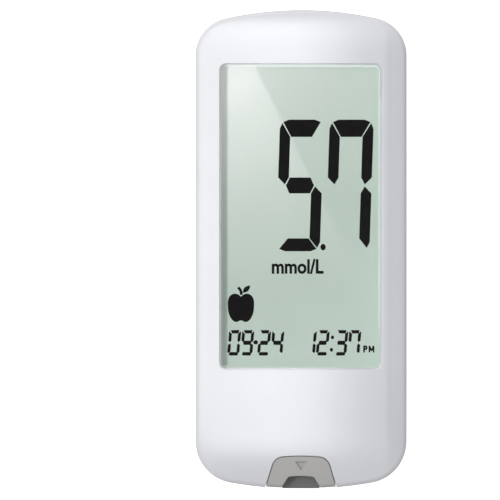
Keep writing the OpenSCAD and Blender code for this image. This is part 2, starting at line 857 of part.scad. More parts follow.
module zebra_connector() {
    color([0.85, 0.6, 0.55]) box(
        [-zebra_l / 2, zebra_y - zebra_w / 2, board_top],
        [zebra_l / 2, zebra_y + zebra_w / 2, front_glass_z]
    );
}

module main_board() {
    color([0.1, 0.36, 0.2]) difference() {
        union() {
            box([-board_half_w, board_start, board_z], [board_half_w, board_end, board_top]);
            box([-tongue_half_w, connector_start, board_z], [tongue_half_w, board_start + weld, board_top]);
        }
        for (x = [-pillar_x, pillar_x], y = pillar_places) translate([x, y, board_z - past])
            cylinder(r = pillar_pin_r + fit, h = pcb_t + 2 * past);
        for (x = [-peg_x, peg_x], y = peg_places) translate([x, y, board_z - past])
            cylinder(r = peg_r + fit / 2, h = pcb_t + 2 * past);
    }
}

module microcontroller() {
    half = chip_side / 2;
    reach = (lead_count - 1) / 2;
    color([0.12, 0.12, 0.13]) translate([0, chip_y, board_top]) {
        box([-half, -half, lead_w / 3], [half, half, chip_h]);
        for (i = [-reach:reach], a = [0, 90, 180, 270]) rotate(a) let (y = i * lead_pitch)
            box([half - fit, y - lead_w / 2, 0], [half + foot_l, y + lead_w / 2, lead_w]);
    }
}

module chip_parts() {
    color([0.35, 0.3, 0.25]) {
        for (i = [0:small_count - 1]) translate([small_x, window_y + small_start + part_pitch * i, board_top])
            cube([part_w, part_l, part_h]);
        for (i = [0:tall_count - 1]) translate([tall_x, window_y + tall_start + part_pitch * i, board_top])
            cube([tall_w, tall_l, tall_h]);
        for (p = [[-driver_x, driver_start], [memory_x, memory_start]])
            translate([p.x, window_y + p.y, board_top]) cube([driver_w, driver_l, tall_h]);
    }
}

// The crystal's can, lying against the board's underside between the battery bay and a pillar
module crystal() {
    color([0.75, 0.76, 0.78]) translate([can_place.x, can_place.y, board_z - can_r]) rotate([-90, 0, 0])
        cylinder(r = can_r, h = can_l);
}

module buzzer() {
    color([0.1, 0.1, 0.1]) translate([buzzer_place.x, buzzer_place.y, board_z - buzzer_h]) difference() {
        cylinder(r = buzzer_r, h = buzzer_h);
        translate([0, 0, -past]) cylinder(r = buzzer_port_r, h = 2 * past);
    }
}

module thermistor() {
    x = -connector_half_w - sensor_gap - part_w;
    color([0.15, 0.3, 0.2]) translate([x, connector_start + sensor_gap, board_top])
        cube([part_w, part_l, part_h]);
}

module rating_label() {
    color([0.85, 0.86, 0.87]) translate([0, label_y, label_sink - label_t])
        rounded_plate(label_w, label_l, label_r, label_t);
}

// The three switches on the board's underside, each with a slot for its plunger
module tact_switches() {
    color([0.2, 0.2, 0.21]) {
        tact_switch(1, up_y);
        tact_switch(1, down_y);
        tact_switch(-1, power_y);
    }
}

module tact_switch(side, y) {
    on_side(side) difference() {
        box([switch_face - switch_w, y - switch_l / 2, switch_z], [switch_face, y + switch_l / 2, board_z]);
        box(
            [plunger_in - button_travel - fit, y - plunger_l / 2 - fit, button_z - plunger_h / 2 - fit],
            [switch_face + past, y + plunger_l / 2 + fit, button_z + plunger_h / 2 + fit]
        );
    }
}

module plunger(side, y) {
    color([0.75, 0.74, 0.7]) on_side(side) box(
        [plunger_in, y - plunger_l / 2, button_z - plunger_h / 2],
        [flange_in, y + plunger_l / 2, button_z + plunger_h / 2]
    );
}

// Place of the back case's outer surface at a height
function flank_x(z) = half_w - rear_step
    - rear_sweep * (1 - sqrt(max(0, 1 - pow((parting_z - z) / rear_depth, 2))));

module side_button(side, y) {
    high = button_z + button_h / 2 + past;
    low = button_z - button_h / 2 - past;
    face_high = flank_x(high) + button_proud;
    face_low = flank_x(low) + button_proud;
    color([0.62, 0.63, 0.65]) on_side(side) {
        intersection() {
            translate([guide_face - 2 * fit, y, button_z]) round_bar(button_l, button_h, button_depth);
            translate([0, y + button_l, 0]) rotate([90, 0, 0]) linear_extrude(2 * button_l) polygon([
                [0, low], [face_low, low], [flank_x(button_z) + button_proud, button_z],
                [face_high, high], [0, high]
            ]);
        }
        translate([flange_in, y, button_z])
            round_bar(button_l + 2 * flange_lip_y, button_h + 2 * flange_lip_z, flange_t);
    }
}

module up_button() {
    side_button(1, up_y);
}

module down_button() {
    side_button(1, down_y);
}

module power_button() {
    side_button(-1, power_y);
}

module up_plunger() {
    plunger(1, up_y);
}

module down_plunger() {
    plunger(1, down_y);
}

module power_plunger() {
    plunger(-1, power_y);
}

// The socket that the strip plugs into, open on top for the ejector's lug
module strip_connector() {
    color([0.13, 0.13, 0.14]) difference() {
        box(
            [-connector_half_w, connector_start, board_top], [connector_half_w, connector_end, connector_top]
        );
        box(
            [-channel_w / 2, connector_start - past, channel_z],
            [channel_w / 2, connector_end - connector_back, channel_top]
        );
        box(
            [-lug_half_w - lug_room, lug_end - lug_t - eject_travel - 2 * lug_room, channel_z + fit],
            [lug_half_w + lug_room, connector_end - connector_back, connector_top + past]
        );
        for (x = contact_xs) box(
            [x - contact_w / 2 - fit, connector_start + 1, board_top - past],
            [x + contact_w / 2 + fit, connector_end + past, channel_z + fit]
        );
    }
}

// Sprung leaves that rise from the board and touch the strip's tracks from below
module strip_contacts() {
    low = board_top + strip_t / 2;
    crest = connector_start + contact_crest;
    high = channel_z + contact_rise;
    path = [
        [connector_end + contact_tail, low], [crest + contact_slope, low], [crest + contact_flat, high],
        [crest - contact_flat, high], [crest - contact_tip, (low + channel_z) / 2]
    ];
    color([0.85, 0.68, 0.3]) for (x = contact_xs)
        translate([x - contact_w / 2, 0, 0]) rotate([90, 0, 90]) linear_extrude(contact_w)
            polygon(ribbon(path, strip_t));
}

// The dark mouth of the strip port: front plate, lip and tunnel
module strip_guide() {
    flare = 0.3;
    color([0.36, 0.38, 0.37]) difference() {
        union() {
            box(
                [-guide_half_w, guide_front, guide_z], [guide_half_w, guide_end, skirt_z - skirt_gap]
            );
            box([-tunnel_half_w, tunnel_start, guide_z + guide_lift], [tunnel_half_w, tunnel_end, guide_top]);
            translate([0, 0, guide_z + guide_lift]) linear_extrude(guide_floor - guide_lift) polygon(concat(
                [[mouth_w / 2, guide_front + weld], [-mouth_w / 2, guide_front + weld]],
                arc([mouth_r - mouth_w / 2, end_y - lip_proud + mouth_r], mouth_r, 180, 270, corner_steps),
                arc([mouth_w / 2 - mouth_r, end_y - lip_proud + mouth_r], mouth_r, 270, 360, corner_steps)
            ));
        }
        box([-channel_w / 2, end_y - past, channel_z], [channel_w / 2, half_l, channel_top]);
        translate([0, 0, channel_z]) linear_extrude(body_h) polygon([
            [-mouth_w / 2 - flare, end_y - past], [mouth_w / 2 + flare, end_y - past],
            [mouth_w / 2 + flare, end_y], [channel_w / 2 - flare, end_y + scoop_l + flare],
            [flare - channel_w / 2, end_y + scoop_l + flare], [-mouth_w / 2 - flare, end_y]
        ]);
    }
}

// The thumb slide: cover, neck, spring bar, arm and the lug that pushes the strip
module strip_ejector() {
    riser_top = front_z([0, neck_start]) - cover_sink - riser_sink;
    color([0.65, 0.65, 0.64]) {
        difference() {
            intersection() {
                loft(front_rings(cover_sink, cover_sink, parting_z));
                translate([0, 0, skirt_z]) linear_extrude(body_h) polygon(cover_outline(0));
            }
            loft(front_rings(cover_sink + cover_t, cover_sink + cover_t, parting_z - past));
            scoop();
            pointer();
        }
        box([-riser_half_w, neck_start, arm_z], [riser_half_w, neck_start + riser_t, riser_top]);
        box([-neck_half_w, neck_start, arm_z], [neck_half_w, neck_end, arm_z + arm_t]);
        box([-arm_half_w, neck_end - weld, arm_z], [arm_half_w, lug_end, arm_z + arm_t]);
        box([-bar_half_w, bar_start, arm_z], [bar_half_w, bar_start + bar_t, arm_z + arm_t]);
        box([-lug_half_w, lug_end - lug_t, channel_z + skirt_gap], [lug_half_w, lug_end, arm_z + weld]);
    }
}

// The sunk triangle that points to the strip mouth
module pointer() {
    y = end_y + pointer_y;
    z = front_z([0, y]) - cover_sink - pointer_depth;
    translate([0, y, z]) linear_extrude(past) polygon([
        [-pointer_w / 2, pointer_l / 2], [0, -pointer_l / 2], [pointer_w / 2, pointer_l / 2]
    ]);
}

// Coil springs that push the ejector back in
module ejector_springs() {
    steps = turn_steps * spring_turns;
    mid_r = spring_r - spring_wire;
    length = spring_end - spring_start - 2 * spring_wire;
    rings = [for (i = [0:steps]) let (a = i * 360 / turn_steps) [
        for (k = [0:wire_steps - 1]) let (b = k * 360 / wire_steps, r = mid_r + spring_wire * cos(b)) [
            r * cos(a), spring_start + spring_wire + length * i / steps + spring_wire * sin(b), r * sin(a)
        ]
    ]];
    color([0.75, 0.76, 0.78]) for (x = [-spring_x, spring_x]) translate([x, 0, spring_z]) loft(rings);
}

module battery_door() {
    low = door_t - fit;
    color([0.9, 0.9, 0.92]) {
        difference() {
            box([-door_half_w, door_bottom, 0], [door_half_w, door_top, door_t]);
            for (i = [0:groove_count - 1]) let (y = door_bottom + groove_start + groove_pitch * i)
                box([-groove_w / 2, y, -past], [groove_w / 2, y + groove_t, groove_depth]);
        }
        for (y = cell_places, x = [-door_rib_x, door_rib_x]) box(
            [x - door_rib_w / 2, y - door_rib_l / 2, low],
            [x + door_rib_w / 2, y + door_rib_l / 2, cell_z - touch]
        );
        for (x = [-tab_x, tab_x]) {
            box([x - tab_w / 2, door_top - tab_root, low], [x + tab_w / 2, door_top - fit, tab_z + tab_t]);
            box([x - tab_w / 2, door_top - tab_root, tab_z], [x + tab_w / 2, door_top + tab_l, tab_z + tab_t]);
        }
        box([-latch_half_w, latch_start, low], [latch_half_w, latch_start + latch_t, latch_top]);
    }
}

module coin_cell(y) {
    color([0.8, 0.8, 0.78]) translate([0, y, cell_z]) {
        cylinder(d = cell_d, h = cell_h - cap_h);
        cylinder(d = cell_d - 2 * cap_inset, h = cell_h);
    }
}

module upper_cell() {
    coin_cell(cell_places[0]);
}

module lower_cell() {
    coin_cell(cell_places[1]);
}

// Leaves over the cells, with tails up to the board
module negative_contacts() {
    tip = cell_z + cell_h + touch + strip_t / 2;
    high = roof_z - strip_t / 2 - touch;
    half = leaf_reach / 2;
    color([0.8, 0.79, 0.75]) for (y = cell_places)
        translate([-leaf_w / 2, y, 0]) rotate([90, 0, 90]) linear_extrude(leaf_w) polygon(ribbon(
            [[-half, high], [0, tip], [half, tip + touch], [leaf_reach, high], [leaf_reach, board_z]], strip_t
        ));
}

// Strips beside the cells, with tails up to the board
module positive_contacts() {
    near = cell_d / 2 + touch + strip_t / 2;
    far = bay_half_w - strip_t / 2 - touch;
    middle = cell_z + cell_h / 2;
    color([0.8, 0.79, 0.75]) for (y = cell_places, side = [-1, 1])
        on_side(side) translate([0, y + side_strip_w / 2, 0]) rotate([90, 0, 0])
            linear_extrude(side_strip_w) polygon(ribbon(
                [[far, board_z], [far, middle + side_bend], [near, middle], [far, middle - side_bend]], strip_t
            ));
}

module case_screws() {
    color([0.6, 0.6, 0.62]) for (p = screws) translate([p.x, p.y, head_z]) difference() {
        union() {
            cylinder(r = screw_head_r, h = screw_head_h);
            cylinder(r = screw_r, h = joint_z - head_z + pilot_depth - tip_room);
        }
        for (a = [0, 90]) rotate(a)
            box([-slot_l / 2, -slot_w / 2, -past], [slot_l / 2, slot_w / 2, slot_depth]);
    }
}

front_shell();
rear_shell();
display_window();
display_gasket();
front_polarizer();
lcd_front_glass();
lcd_rear_glass();
lcd_reflector();
lcd_frame();
zebra_connector();
main_board();
microcontroller();
chip_parts();
crystal();
buzzer();
thermistor();
tact_switches();
strip_connector();
strip_contacts();
strip_guide();
strip_ejector();
ejector_springs();
battery_door();
upper_cell();
lower_cell();
negative_contacts();
positive_contacts();
case_screws();
up_button();
down_button();
power_button();
up_plunger();
down_plunger();
power_plunger();
rating_label();
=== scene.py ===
"""A blood glucose meter: the finish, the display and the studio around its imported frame.

Lengths are in millimetres until a mesh is made, which puts them in metres, as in the frame.
"""

import json
import math

import bmesh
import bpy
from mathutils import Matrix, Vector

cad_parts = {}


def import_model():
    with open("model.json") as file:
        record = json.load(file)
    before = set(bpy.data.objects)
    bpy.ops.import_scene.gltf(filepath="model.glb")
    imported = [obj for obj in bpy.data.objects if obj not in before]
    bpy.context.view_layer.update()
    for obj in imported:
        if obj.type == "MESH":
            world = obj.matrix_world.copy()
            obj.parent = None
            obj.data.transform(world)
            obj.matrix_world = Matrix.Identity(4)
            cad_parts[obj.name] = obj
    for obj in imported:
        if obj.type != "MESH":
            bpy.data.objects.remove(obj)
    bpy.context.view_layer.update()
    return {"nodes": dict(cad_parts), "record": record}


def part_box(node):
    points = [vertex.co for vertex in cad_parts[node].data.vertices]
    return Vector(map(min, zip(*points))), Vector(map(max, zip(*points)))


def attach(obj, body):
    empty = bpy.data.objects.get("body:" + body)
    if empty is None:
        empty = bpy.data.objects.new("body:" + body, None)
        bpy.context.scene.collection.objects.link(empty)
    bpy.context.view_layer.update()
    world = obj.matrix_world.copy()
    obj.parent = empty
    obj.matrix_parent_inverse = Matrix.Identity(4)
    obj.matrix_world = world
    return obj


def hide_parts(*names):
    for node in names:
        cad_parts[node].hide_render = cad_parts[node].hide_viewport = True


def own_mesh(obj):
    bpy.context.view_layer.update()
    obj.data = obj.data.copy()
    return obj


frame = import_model()

MM = 0.001
NODES = frame["nodes"]


# ---- Measures

def box_mm(node):
    """The lowest and the highest corner of a CAD node, in millimetres."""
    low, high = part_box(node)
    return low / MM, high / MM


SHELL_LOW, SHELL_HIGH = box_mm("front_shell")
PANE_LOW, PANE_HIGH = box_mm("display_window")
FILM_LOW, FILM_HIGH = box_mm("front_polarizer")
GUIDE_LOW, GUIDE_HIGH = box_mm("strip_guide")

HALF_W = SHELL_HIGH.x
TOP_L = SHELL_HIGH.y
LOW_L = -GUIDE_LOW.y
BODY_H = SHELL_HIGH.z
END_Y = -SHELL_HIGH.y

# The case's outline, as far as the guide's lip at the strip end, and its front face
TOP_ARC_R = 75
LOW_ARC_R = 88
TOP_CORNER_R = 8.3
LOW_CORNER_R = 9.2
FRONT_DEPTH = 5.8
PARTING_Z = BODY_H - FRONT_DEPTH
WALL = 1.6
PLATE_T = 1.6
EDGE_R = 1.1
LEAST_EDGE_R = 0.3
SIDE_DROP = 0.9
TOP_DROP = 1.3
LOW_DROP = 2.6

# The back case
REAR_STEP = 0.5
REAR_SWEEP = 4
REAR_WALL = 1.5
BACK_T = 1.5

# The window's pocket and the opening below it
POCKET_FIT = 0.1
LEDGE_W = 0.55
POCKET_R = 1.5
BORDER_T = 0.04
BORDER_GAP = 0.005
# How far the painted highlight ring's outer and inner outline lie inside the pocket's: left, right and
# both ends
BORDER_OUTER = (0.42, 0.65, 0.3)
BORDER_INNER = (0.78, 0.88, 0.8)
COLLAR_T = 0.04
WINDOW_Y = (PANE_LOW.y + PANE_HIGH.y) / 2
POCKET_W = PANE_HIGH.x - PANE_LOW.x + POCKET_FIT
POCKET_L = PANE_HIGH.y - PANE_LOW.y + POCKET_FIT
OPENING_W = POCKET_W - 2 * LEDGE_W
OPENING_L = POCKET_L - 2 * LEDGE_W
OPENING_R = POCKET_R - LEDGE_W
PLATEAU_X = POCKET_W / 2 + 0.6
PLATEAU_TOP = WINDOW_Y + POCKET_L / 2 + 1.3
PLATEAU_LOW = WINDOW_Y - POCKET_L / 2 - 1.7

# The ejector's cover and the strip's mouth
COVER_END_W = 15.3
COVER_INNER_W = 11.3
COVER_L = 6.6
COVER_R = 2.6
COVER_BULGE = 0.15
COVER_GAP = 0.15
COVER_T = 1.3
COVER_SINK = 0.15
MOUTH_W = 8.4
MOUTH_INNER_W = 5.5
MOUTH_R = 0.7
MOUTH_BULGE = 0.14
SCOOP_L = 2.33
SCOOP_ROUND = 0.1
POINTER_Y = END_Y + 4.65
POINTER_W = 2.8
POINTER_L = 2.1
POINTER_DEPTH = 0.52

# Rounding of the case's rims; PARTING_BEND is how far the middle of its round lies inside
POCKET_ROUND = 0.04
COVER_ROUND = 0.13
PARTING_ROUND = 0.25
PARTING_BEND = 0.29 * PARTING_ROUND

# How far a cutter goes past the face it cuts, how deep two solids that are joined overlap, and how
# near two points have to be to count as one
PAST = 1
SKIN = 0.05
SAME_POINT = 0.0005

# How finely the case is drawn
CORNER_STEPS = 16
ARC_STEPS = 28
SIDE_STEPS = 12
EDGE_STEPS = 10
FACE_STEPS = 9
SWEEP_STEPS = 16
FLARE_STEPS = 8
HEAD_STEPS = 32
SOUND_STEPS = 24


# ---- Outlines

def arc(centre, r, start, end, steps, skip=0):
    """Points along an arc, in degrees, without the first and the last skip of them."""
    points = []
    for i in range(skip, steps + 1 - skip):
        a = math.radians(start + (end - start) * i / steps)
        points.append((centre[0] + r * math.cos(a), centre[1] + r * math.sin(a)))
    return points


def corner_centre(reach, arc_r, corner_r):
    """Middle of the corner that joins an end's arc to the right side, for an end towards +Y."""
    x = HALF_W - corner_r
    y = reach - arc_r + math.sqrt((arc_r - corner_r) ** 2 - x * x)
    return x, y


def end_outline(reach, arc_r, corner_r, d):
    """The end towards +Y of an outline moved in by d, anticlockwise."""
    x, y = corner_centre(reach, arc_r, corner_r)
    middle = reach - arc_r
    turn = math.degrees(math.atan2(y - middle, x))
    return (
        arc((x, y), corner_r - d, 0, turn, CORNER_STEPS)
        + arc((0, middle), arc_r - d, turn, 180 - turn, ARC_STEPS, 1)
        + arc((-x, y), corner_r - d, 180 - turn, 180, CORNER_STEPS)
    )


def outline(d):
    """The case's outline moved in by d, anticlockwise from the right side's upper end."""
    top = end_outline(TOP_L, TOP_ARC_R, TOP_CORNER_R, d)
    low = [(-x, -y) for x, y in end_outline(LOW_L, LOW_ARC_R, LOW_CORNER_R, d)]
    drop = (low[0][1] - top[0][1]) / SIDE_STEPS
    left = [(d - HALF_W, top[0][1] + drop * i) for i in range(1, SIDE_STEPS)]
    right = [(-x, y) for x, y in reversed(left)]
    return top + left + low + right


def rounded_rectangle(w, l, r, centre, steps=8):
    """A rectangle with round corners, anticlockwise."""
    points = []
    for side_x, side_y, start in ((1, 1, 0), (-1, 1, 90), (-1, -1, 180), (1, -1, 270)):
        middle = (centre[0] + side_x * (w / 2 - r), centre[1] + side_y * (l / 2 - r))
        points += arc(middle, r, start, start + 90, steps)
    return points


def corner_arc(a, b, c, r, steps):
    """The fillet that replaces corner b of a line a, b, c."""
    a, b, c = Vector(a), Vector(b), Vector(c)
    u = (a - b).normalized()
    v = (c - b).normalized()
    half = u.angle(v) / 2
    centre = b + (u + v).normalized() * r / math.sin(half)
    start = b + u * r / math.tan(half) - centre
    turn = math.copysign(180 - 2 * math.degrees(half), (b - a).cross(c - b))
    first = math.degrees(math.atan2(start.y, start.x))
    return arc(centre, r, first, first + turn, steps)


def flared_outline(end_w, inner_w, length, r, bulge, grow):
    """An outline grown by grow: open to the strip end, with round inner corners and a bulge."""
    beyond = 2
    slope = (end_w - inner_w) / 2 / length
    end = end_w / 2 + grow
    inner = inner_w / 2 + grow - slope * grow
    top = END_Y + length + grow
    right = corner_arc((end, END_Y), (inner, top), (-inner, top), r + grow, FLARE_STEPS)
    left = [(-x, y) for x, y in reversed(right)]
    half = right[-1][0]
    crown = [half * (1 - 2 * i / FLARE_STEPS) for i in range(1, FLARE_STEPS)]
    return (
        [(-end - slope * beyond, END_Y - beyond), (end + slope * beyond, END_Y - beyond)]
        + right
        + [(x, top + bulge * (1 - (x / half) ** 2)) for x in crown]
        + left
    )


def cover_outline(grow):
    return flared_outline(COVER_END_W, COVER_INNER_W, COVER_L, COVER_R, COVER_BULGE, grow)


def scoop_outline(grow):
    return flared_outline(MOUTH_W, MOUTH_INNER_W, SCOOP_L, MOUTH_R, MOUTH_BULGE, grow)


def growing_rectangle(w, l, r, centre, gap=0):
    """The outline of a hole with a gap around a piece with round corners, as a function of grow."""
    return lambda grow: rounded_rectangle(w + 2 * (gap + grow), l + 2 * (gap + grow), r + grow, centre)


pocket_outline = growing_rectangle(POCKET_W, POCKET_L, POCKET_R, (0, WINDOW_Y))
opening_outline = growing_rectangle(OPENING_W, OPENING_L, OPENING_R, (0, WINDOW_Y))


# ---- Heights of the front face

def share(value, length):
    return max(0.0, value) / length


def front_z(x, y):
    """Height of the case's front face over a point."""
    return (
        BODY_H
        - SIDE_DROP * share(abs(x) - PLATEAU_X, HALF_W - PLATEAU_X) ** 2
        - TOP_DROP * share(y - PLATEAU_TOP, TOP_L - PLATEAU_TOP) ** 2
        - LOW_DROP * share(PLATEAU_LOW - y, LOW_L + PLATEAU_LOW) ** 2
    )


def level_point(point):
    """A point of the outline shrunk into the level part of the front face."""
    x, y = point
    middle = (PLATEAU_TOP + PLATEAU_LOW) / 2
    reach = TOP_L - middle if y > middle else LOW_L + middle
    return x * PLATEAU_X / HALF_W, middle + (y - middle) * (PLATEAU_TOP - middle) / reach


def at_height(points, z):
    return [(x, y, z) for x, y in points]


def over_face(points, height, up):
    """Points at the height up over the face height(x, y)."""
    return [(x, y, height(x, y) + up) for x, y in points]


def between(a, b, t):
    return [(p[0] + t * (q[0] - p[0]), p[1] + t * (q[1] - p[1])) for p, q in zip(a, b)]


def front_rings(d, drop, low):
    """Rings of the front case's form, moved in by d and down by drop, from the height low up."""
    r = max(EDGE_R - d, LEAST_EDGE_R)
    level = [level_point(p) for p in outline(0)]
    rings = [at_height(outline(d), low)]
    for i in range(EDGE_STEPS + 1):
        a = math.pi / 2 * i / EDGE_STEPS
        turned_in = outline(d + r * (1 - math.cos(a)))
        rings.append(over_face(turned_in, front_z, -drop - r * (1 - math.sin(a))))
    edge = outline(d + r)
    for i in range(1, FACE_STEPS + 1):
        rings.append(over_face(between(edge, level, i / FACE_STEPS), front_z, -drop))
    return rings


def rear_rings(d, depth, over):
    """Rings of the back case's form, moved in by d, from its lowest level up."""
    rings = []
    for i in range(SWEEP_STEPS, -1, -1):
        a = math.pi / 2 * i / SWEEP_STEPS
        swept = outline(d + REAR_SWEEP * (1 - math.cos(a)))
        rings.append(at_height(swept, PARTING_Z - depth * math.sin(a)))
    if over > 0:
        rings.append(at_height(outline(d), PARTING_Z + over))
    return rings


def rim_rings(shape, low, r, height, inward=False, steps=4):
    """Rings of a cutter that flares into a round rim where it meets the face height(x, y).

    With inward, they are those of a plug whose own upper rim is rounded. One step makes a chamfer."""
    side = -1 if inward else 1
    rings = [at_height(shape(0), low)]
    for i in range(steps + 1):
        a = math.pi / 2 * i / steps
        rings.append(over_face(shape(side * r * (1 - math.cos(a))), height, r * (math.sin(a) - 1)))
    rings.append(over_face(shape(side * (r + PAST) if inward else r), height, PAST))
    return rings


# ---- Meshes

SHARP = 32
BEVEL_FROM = 40


def in_scene(name, data):
    piece = bpy.data.objects.new(name, data)
    bpy.context.scene.collection.objects.link(piece)
    return piece


def new_piece(name, points, faces):
    """A new object from points in millimetres."""
    mesh = bpy.data.meshes.new(name)
    mesh.from_pydata([[value * MM for value in p] for p in points], [], faces)
    mesh.validate()
    return in_scene(name, mesh)


def loft(name, rings):
    """A closed solid through rings of equally many points."""
    n = len(rings[0])
    last = (len(rings) - 1) * n
    faces = [tuple(range(n - 1, -1, -1)), tuple(range(last, last + n))]
    for k in range(len(rings) - 1):
        for i in range(n):
            j = (i + 1) % n
            faces.append((k * n + i, k * n + j, (k + 1) * n + j, (k + 1) * n + i))
    return new_piece(name, [p for ring in rings for p in ring], faces)


def prism(name, points, low, high):
    return loft(name, [at_height(points, low), at_height(points, high)])


def merged_copy(node):
    """A copy of a CAD node's mesh with its doubled points joined."""
    copy = in_scene(node + "_copy", NODES[node].data.copy())
    form = bmesh.new()
    form.from_mesh(copy.data)
    bmesh.ops.remove_doubles(form, verts=form.verts, dist=SAME_POINT * MM)
    form.to_mesh(copy.data)
    form.free()
    return copy


def carve(piece, other, operation="DIFFERENCE"):
    """Cuts other out of piece, joins it or keeps what they share, and deletes other."""
    modifier = piece.modifiers.new("carve", "BOOLEAN")
    modifier.operation = operation
    modifier.solver = "MANIFOLD"
    modifier.object = other
    apply_modifiers(piece)
    bpy.data.objects.remove(other)
    return piece


def evaluated_mesh(piece):
    graph = bpy.context.evaluated_depsgraph_get()
    return bpy.data.meshes.new_from_object(piece.evaluated_get(graph))


def apply_modifiers(piece):
    old = piece.data
    piece.data = evaluated_mesh(piece)
    piece.modifiers.clear()
    bpy.data.meshes.remove(old)


def weigh_normals(piece):
    modifier = piece.modifiers.new("normals", "WEIGHTED_NORMAL")
    modifier.keep_sharp = True


def smooth(piece):
    """Smooth shading with sharp edges where two faces meet at more than SHARP degrees."""
    piece.data.shade_smooth()
    form = bmesh.new()
    form.from_mesh(piece.data)
    for edge in form.edges:
        edge.smooth = len(edge.link_faces) == 2 and edge.calc_face_angle(0) < math.radians(SHARP)
    form.to_mesh(piece.data)
    form.free()
    weigh_normals(piece)
    apply_modifiers(piece)
    return piece


def even_face(piece, height):
    """Gives the curved face height(x, y) its own normals, where cuts through it left them uneven."""
    mesh = piece.data
    step = 0.05
    near = 0.03
    upward = 0.85
    normals = [corner.vector.copy() for corner in mesh.corner_normals]
    for polygon in mesh.polygons:
        if polygon.normal.z < upward:
            continue
        for i in polygon.loop_indices:
            x, y, z = mesh.vertices[mesh.loops[i].vertex_index].co / MM
            if abs(z - height(x, y)) < near:
                slope_x = (height(x + step, y) - height(x - step, y)) / (2 * step)
                slope_y = (height(x, y + step) - height(x, y - step)) / (2 * step)
                normals[i] = Vector((-slope_x, -slope_y, 1)).normalized()
    mesh.normals_split_custom_set(normals)


def bevelled(node, width):
    """Rounds the edges of a CAD node's own object with modifiers, which leave its mesh as it is."""
    piece = NODES[node]
    weld = piece.modifiers.new("weld", "WELD")
    weld.merge_threshold = SAME_POINT * MM
    bevel = piece.modifiers.new("round", "BEVEL")
    bevel.width = width * MM
    bevel.segments = 2
    bevel.limit_method = "ANGLE"
    bevel.angle_limit = math.radians(BEVEL_FROM)
    weigh_normals(piece)
    piece.data.shade_smooth()


def stand_for(piece, body, slot, *nodes, material=None):
    """Puts a finished piece on its body, with its slot's or its own material, in place of CAD nodes."""
    paint(piece, material or MATERIALS[slot])
    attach(piece, body)
    if nodes:
        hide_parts(*nodes)
    return piece


def paint(piece, material):
    piece.data.materials.clear()
    piece.data.materials.append(material)
    return piece


# ---- Materials

def colour(red, green, blue):
    """A surface colour from values of 0 to 255."""
    return tuple(linear(value / 255) for value in (red, green, blue)) + (1,)


def linear(value):
    return value / 12.92 if value <= 0.04045 else ((value + 0.055) / 1.055) ** 2.4


class Surface:
    """A node material under construction, with the object's own coordinates in metres."""

    def __init__(self, name):
        self.material = bpy.data.materials.new(name)
        self.material.use_nodes = True
        self.nodes = self.material.node_tree.nodes
        self.shader = self.nodes["Principled BSDF"]
        self.place = self.node("TexCoord").outputs["Object"]

    def fill(self, socket, value):
        """Sets an input, or feeds it from a node's output; a node stands for its first output."""
        if isinstance(value, bpy.types.Node):
            value = value.outputs[0]
        if isinstance(value, bpy.types.NodeSocket):
            self.material.node_tree.links.new(value, socket)
        else:
            socket.default_value = value

    def node(self, kind, *sources, **values):
        """A new node: sources fill its inputs in turn, values its properties or inputs by name."""
        made = self.nodes.new("ShaderNode" + kind)
        for socket, source in zip(made.inputs, sources):
            self.fill(socket, source)
        for name, value in values.items():
            if hasattr(made, name):
                setattr(made, name, value)
            else:
                self.fill(made.inputs[name.replace("_", " ")], value)
        return made

    def set(self, **values):
        """Fills inputs of the shader."""
        for name, value in values.items():
            self.fill(self.shader.inputs[name.replace("_", " ")], value)
        return self

    def show(self, shader):
        """Puts another shader in the usual one's place."""
        self.nodes.remove(self.shader)
        self.fill(self.nodes["Material Output"].inputs["Surface"], shader)

    def noise(self, size, detail=3.0, stretch=(1, 1, 1)):
        """Noise with features of about size millimetres, from 0 to 1."""
        place = self.node("Mapping", self.place, Scale=stretch)
        return self.node("TexNoise", place, Scale=1 / (size * MM), Detail=detail)

    def cells(self, size):
        """Distance to the middles of cells of about size millimetres."""
        return self.node("TexVoronoi", self.place, Scale=1 / (size * MM))

    def scaled(self, factor, low, high):
        return self.node("MapRange", factor, To_Min=low, To_Max=high)

    def paint(self, factor, first, second, low=0.35, high=0.65):
        """A base colour between first and second as factor runs from low to high."""
        ramp = self.node("ValToRGB", factor)
        start, end = ramp.color_ramp.elements
        start.position = low
        start.color = first
        end.position = high
        end.color = second
        self.set(Base_Color=ramp)

    def cloud(self, size, tone, vary, detail=2):
        """The base colour tone, varied by the share vary in clouds of about size millimetres."""
        self.paint(self.noise(size, detail), shade(tone, 1 - vary), shade(tone, 1 + vary))

    def wear(self, source, low, high):
        """Roughness between low and high."""
        self.set(Roughness=self.scaled(source, low, high))

    def bump(self, source, depth):
        """Relief of depth millimetres."""
        self.set(Normal=self.node("Bump", Strength=1.0, Distance=depth * MM, Height=source))


def shade(tone, factor):
    return tuple(min(1.0, value * factor) for value in tone[:3]) + (1,)


def plastic(name, tone, roughness, grain=0.35, depth=0.004, vary=0.02, cloud=6.0):
    """Moulded plastic: a fine grain, a faint cloud of colour and small changes of gloss."""
    surface = Surface(name)
    surface.cloud(cloud, tone, vary)
    surface.wear(surface.noise(grain * 4, 2), roughness - 0.04, roughness + 0.04)
    surface.bump(surface.noise(grain, 4), depth)
    return surface


def coated_plastic(name, tone, roughness):
    """Smooth moulded plastic under a clear satin lacquer."""
    surface = Surface(name).set(Specular_IOR_Level=1.0, Coat_Weight=1.0, Coat_Roughness=roughness)
    surface.cloud(6, tone, 0.008)
    surface.wear(surface.noise(1.4, 2), roughness - 0.03, roughness + 0.03)
    surface.bump(surface.noise(0.35, 4), 0.001)
    return surface


def textured_plastic(name, tone, roughness):
    """Moulded plastic with the even pits of an eroded mould."""
    surface = Surface(name)
    surface.cloud(5, tone, 0.02)
    pits = surface.cells(0.28)
    surface.wear(pits, roughness - 0.05, roughness + 0.08)
    surface.bump(pits, 0.012)
    return surface


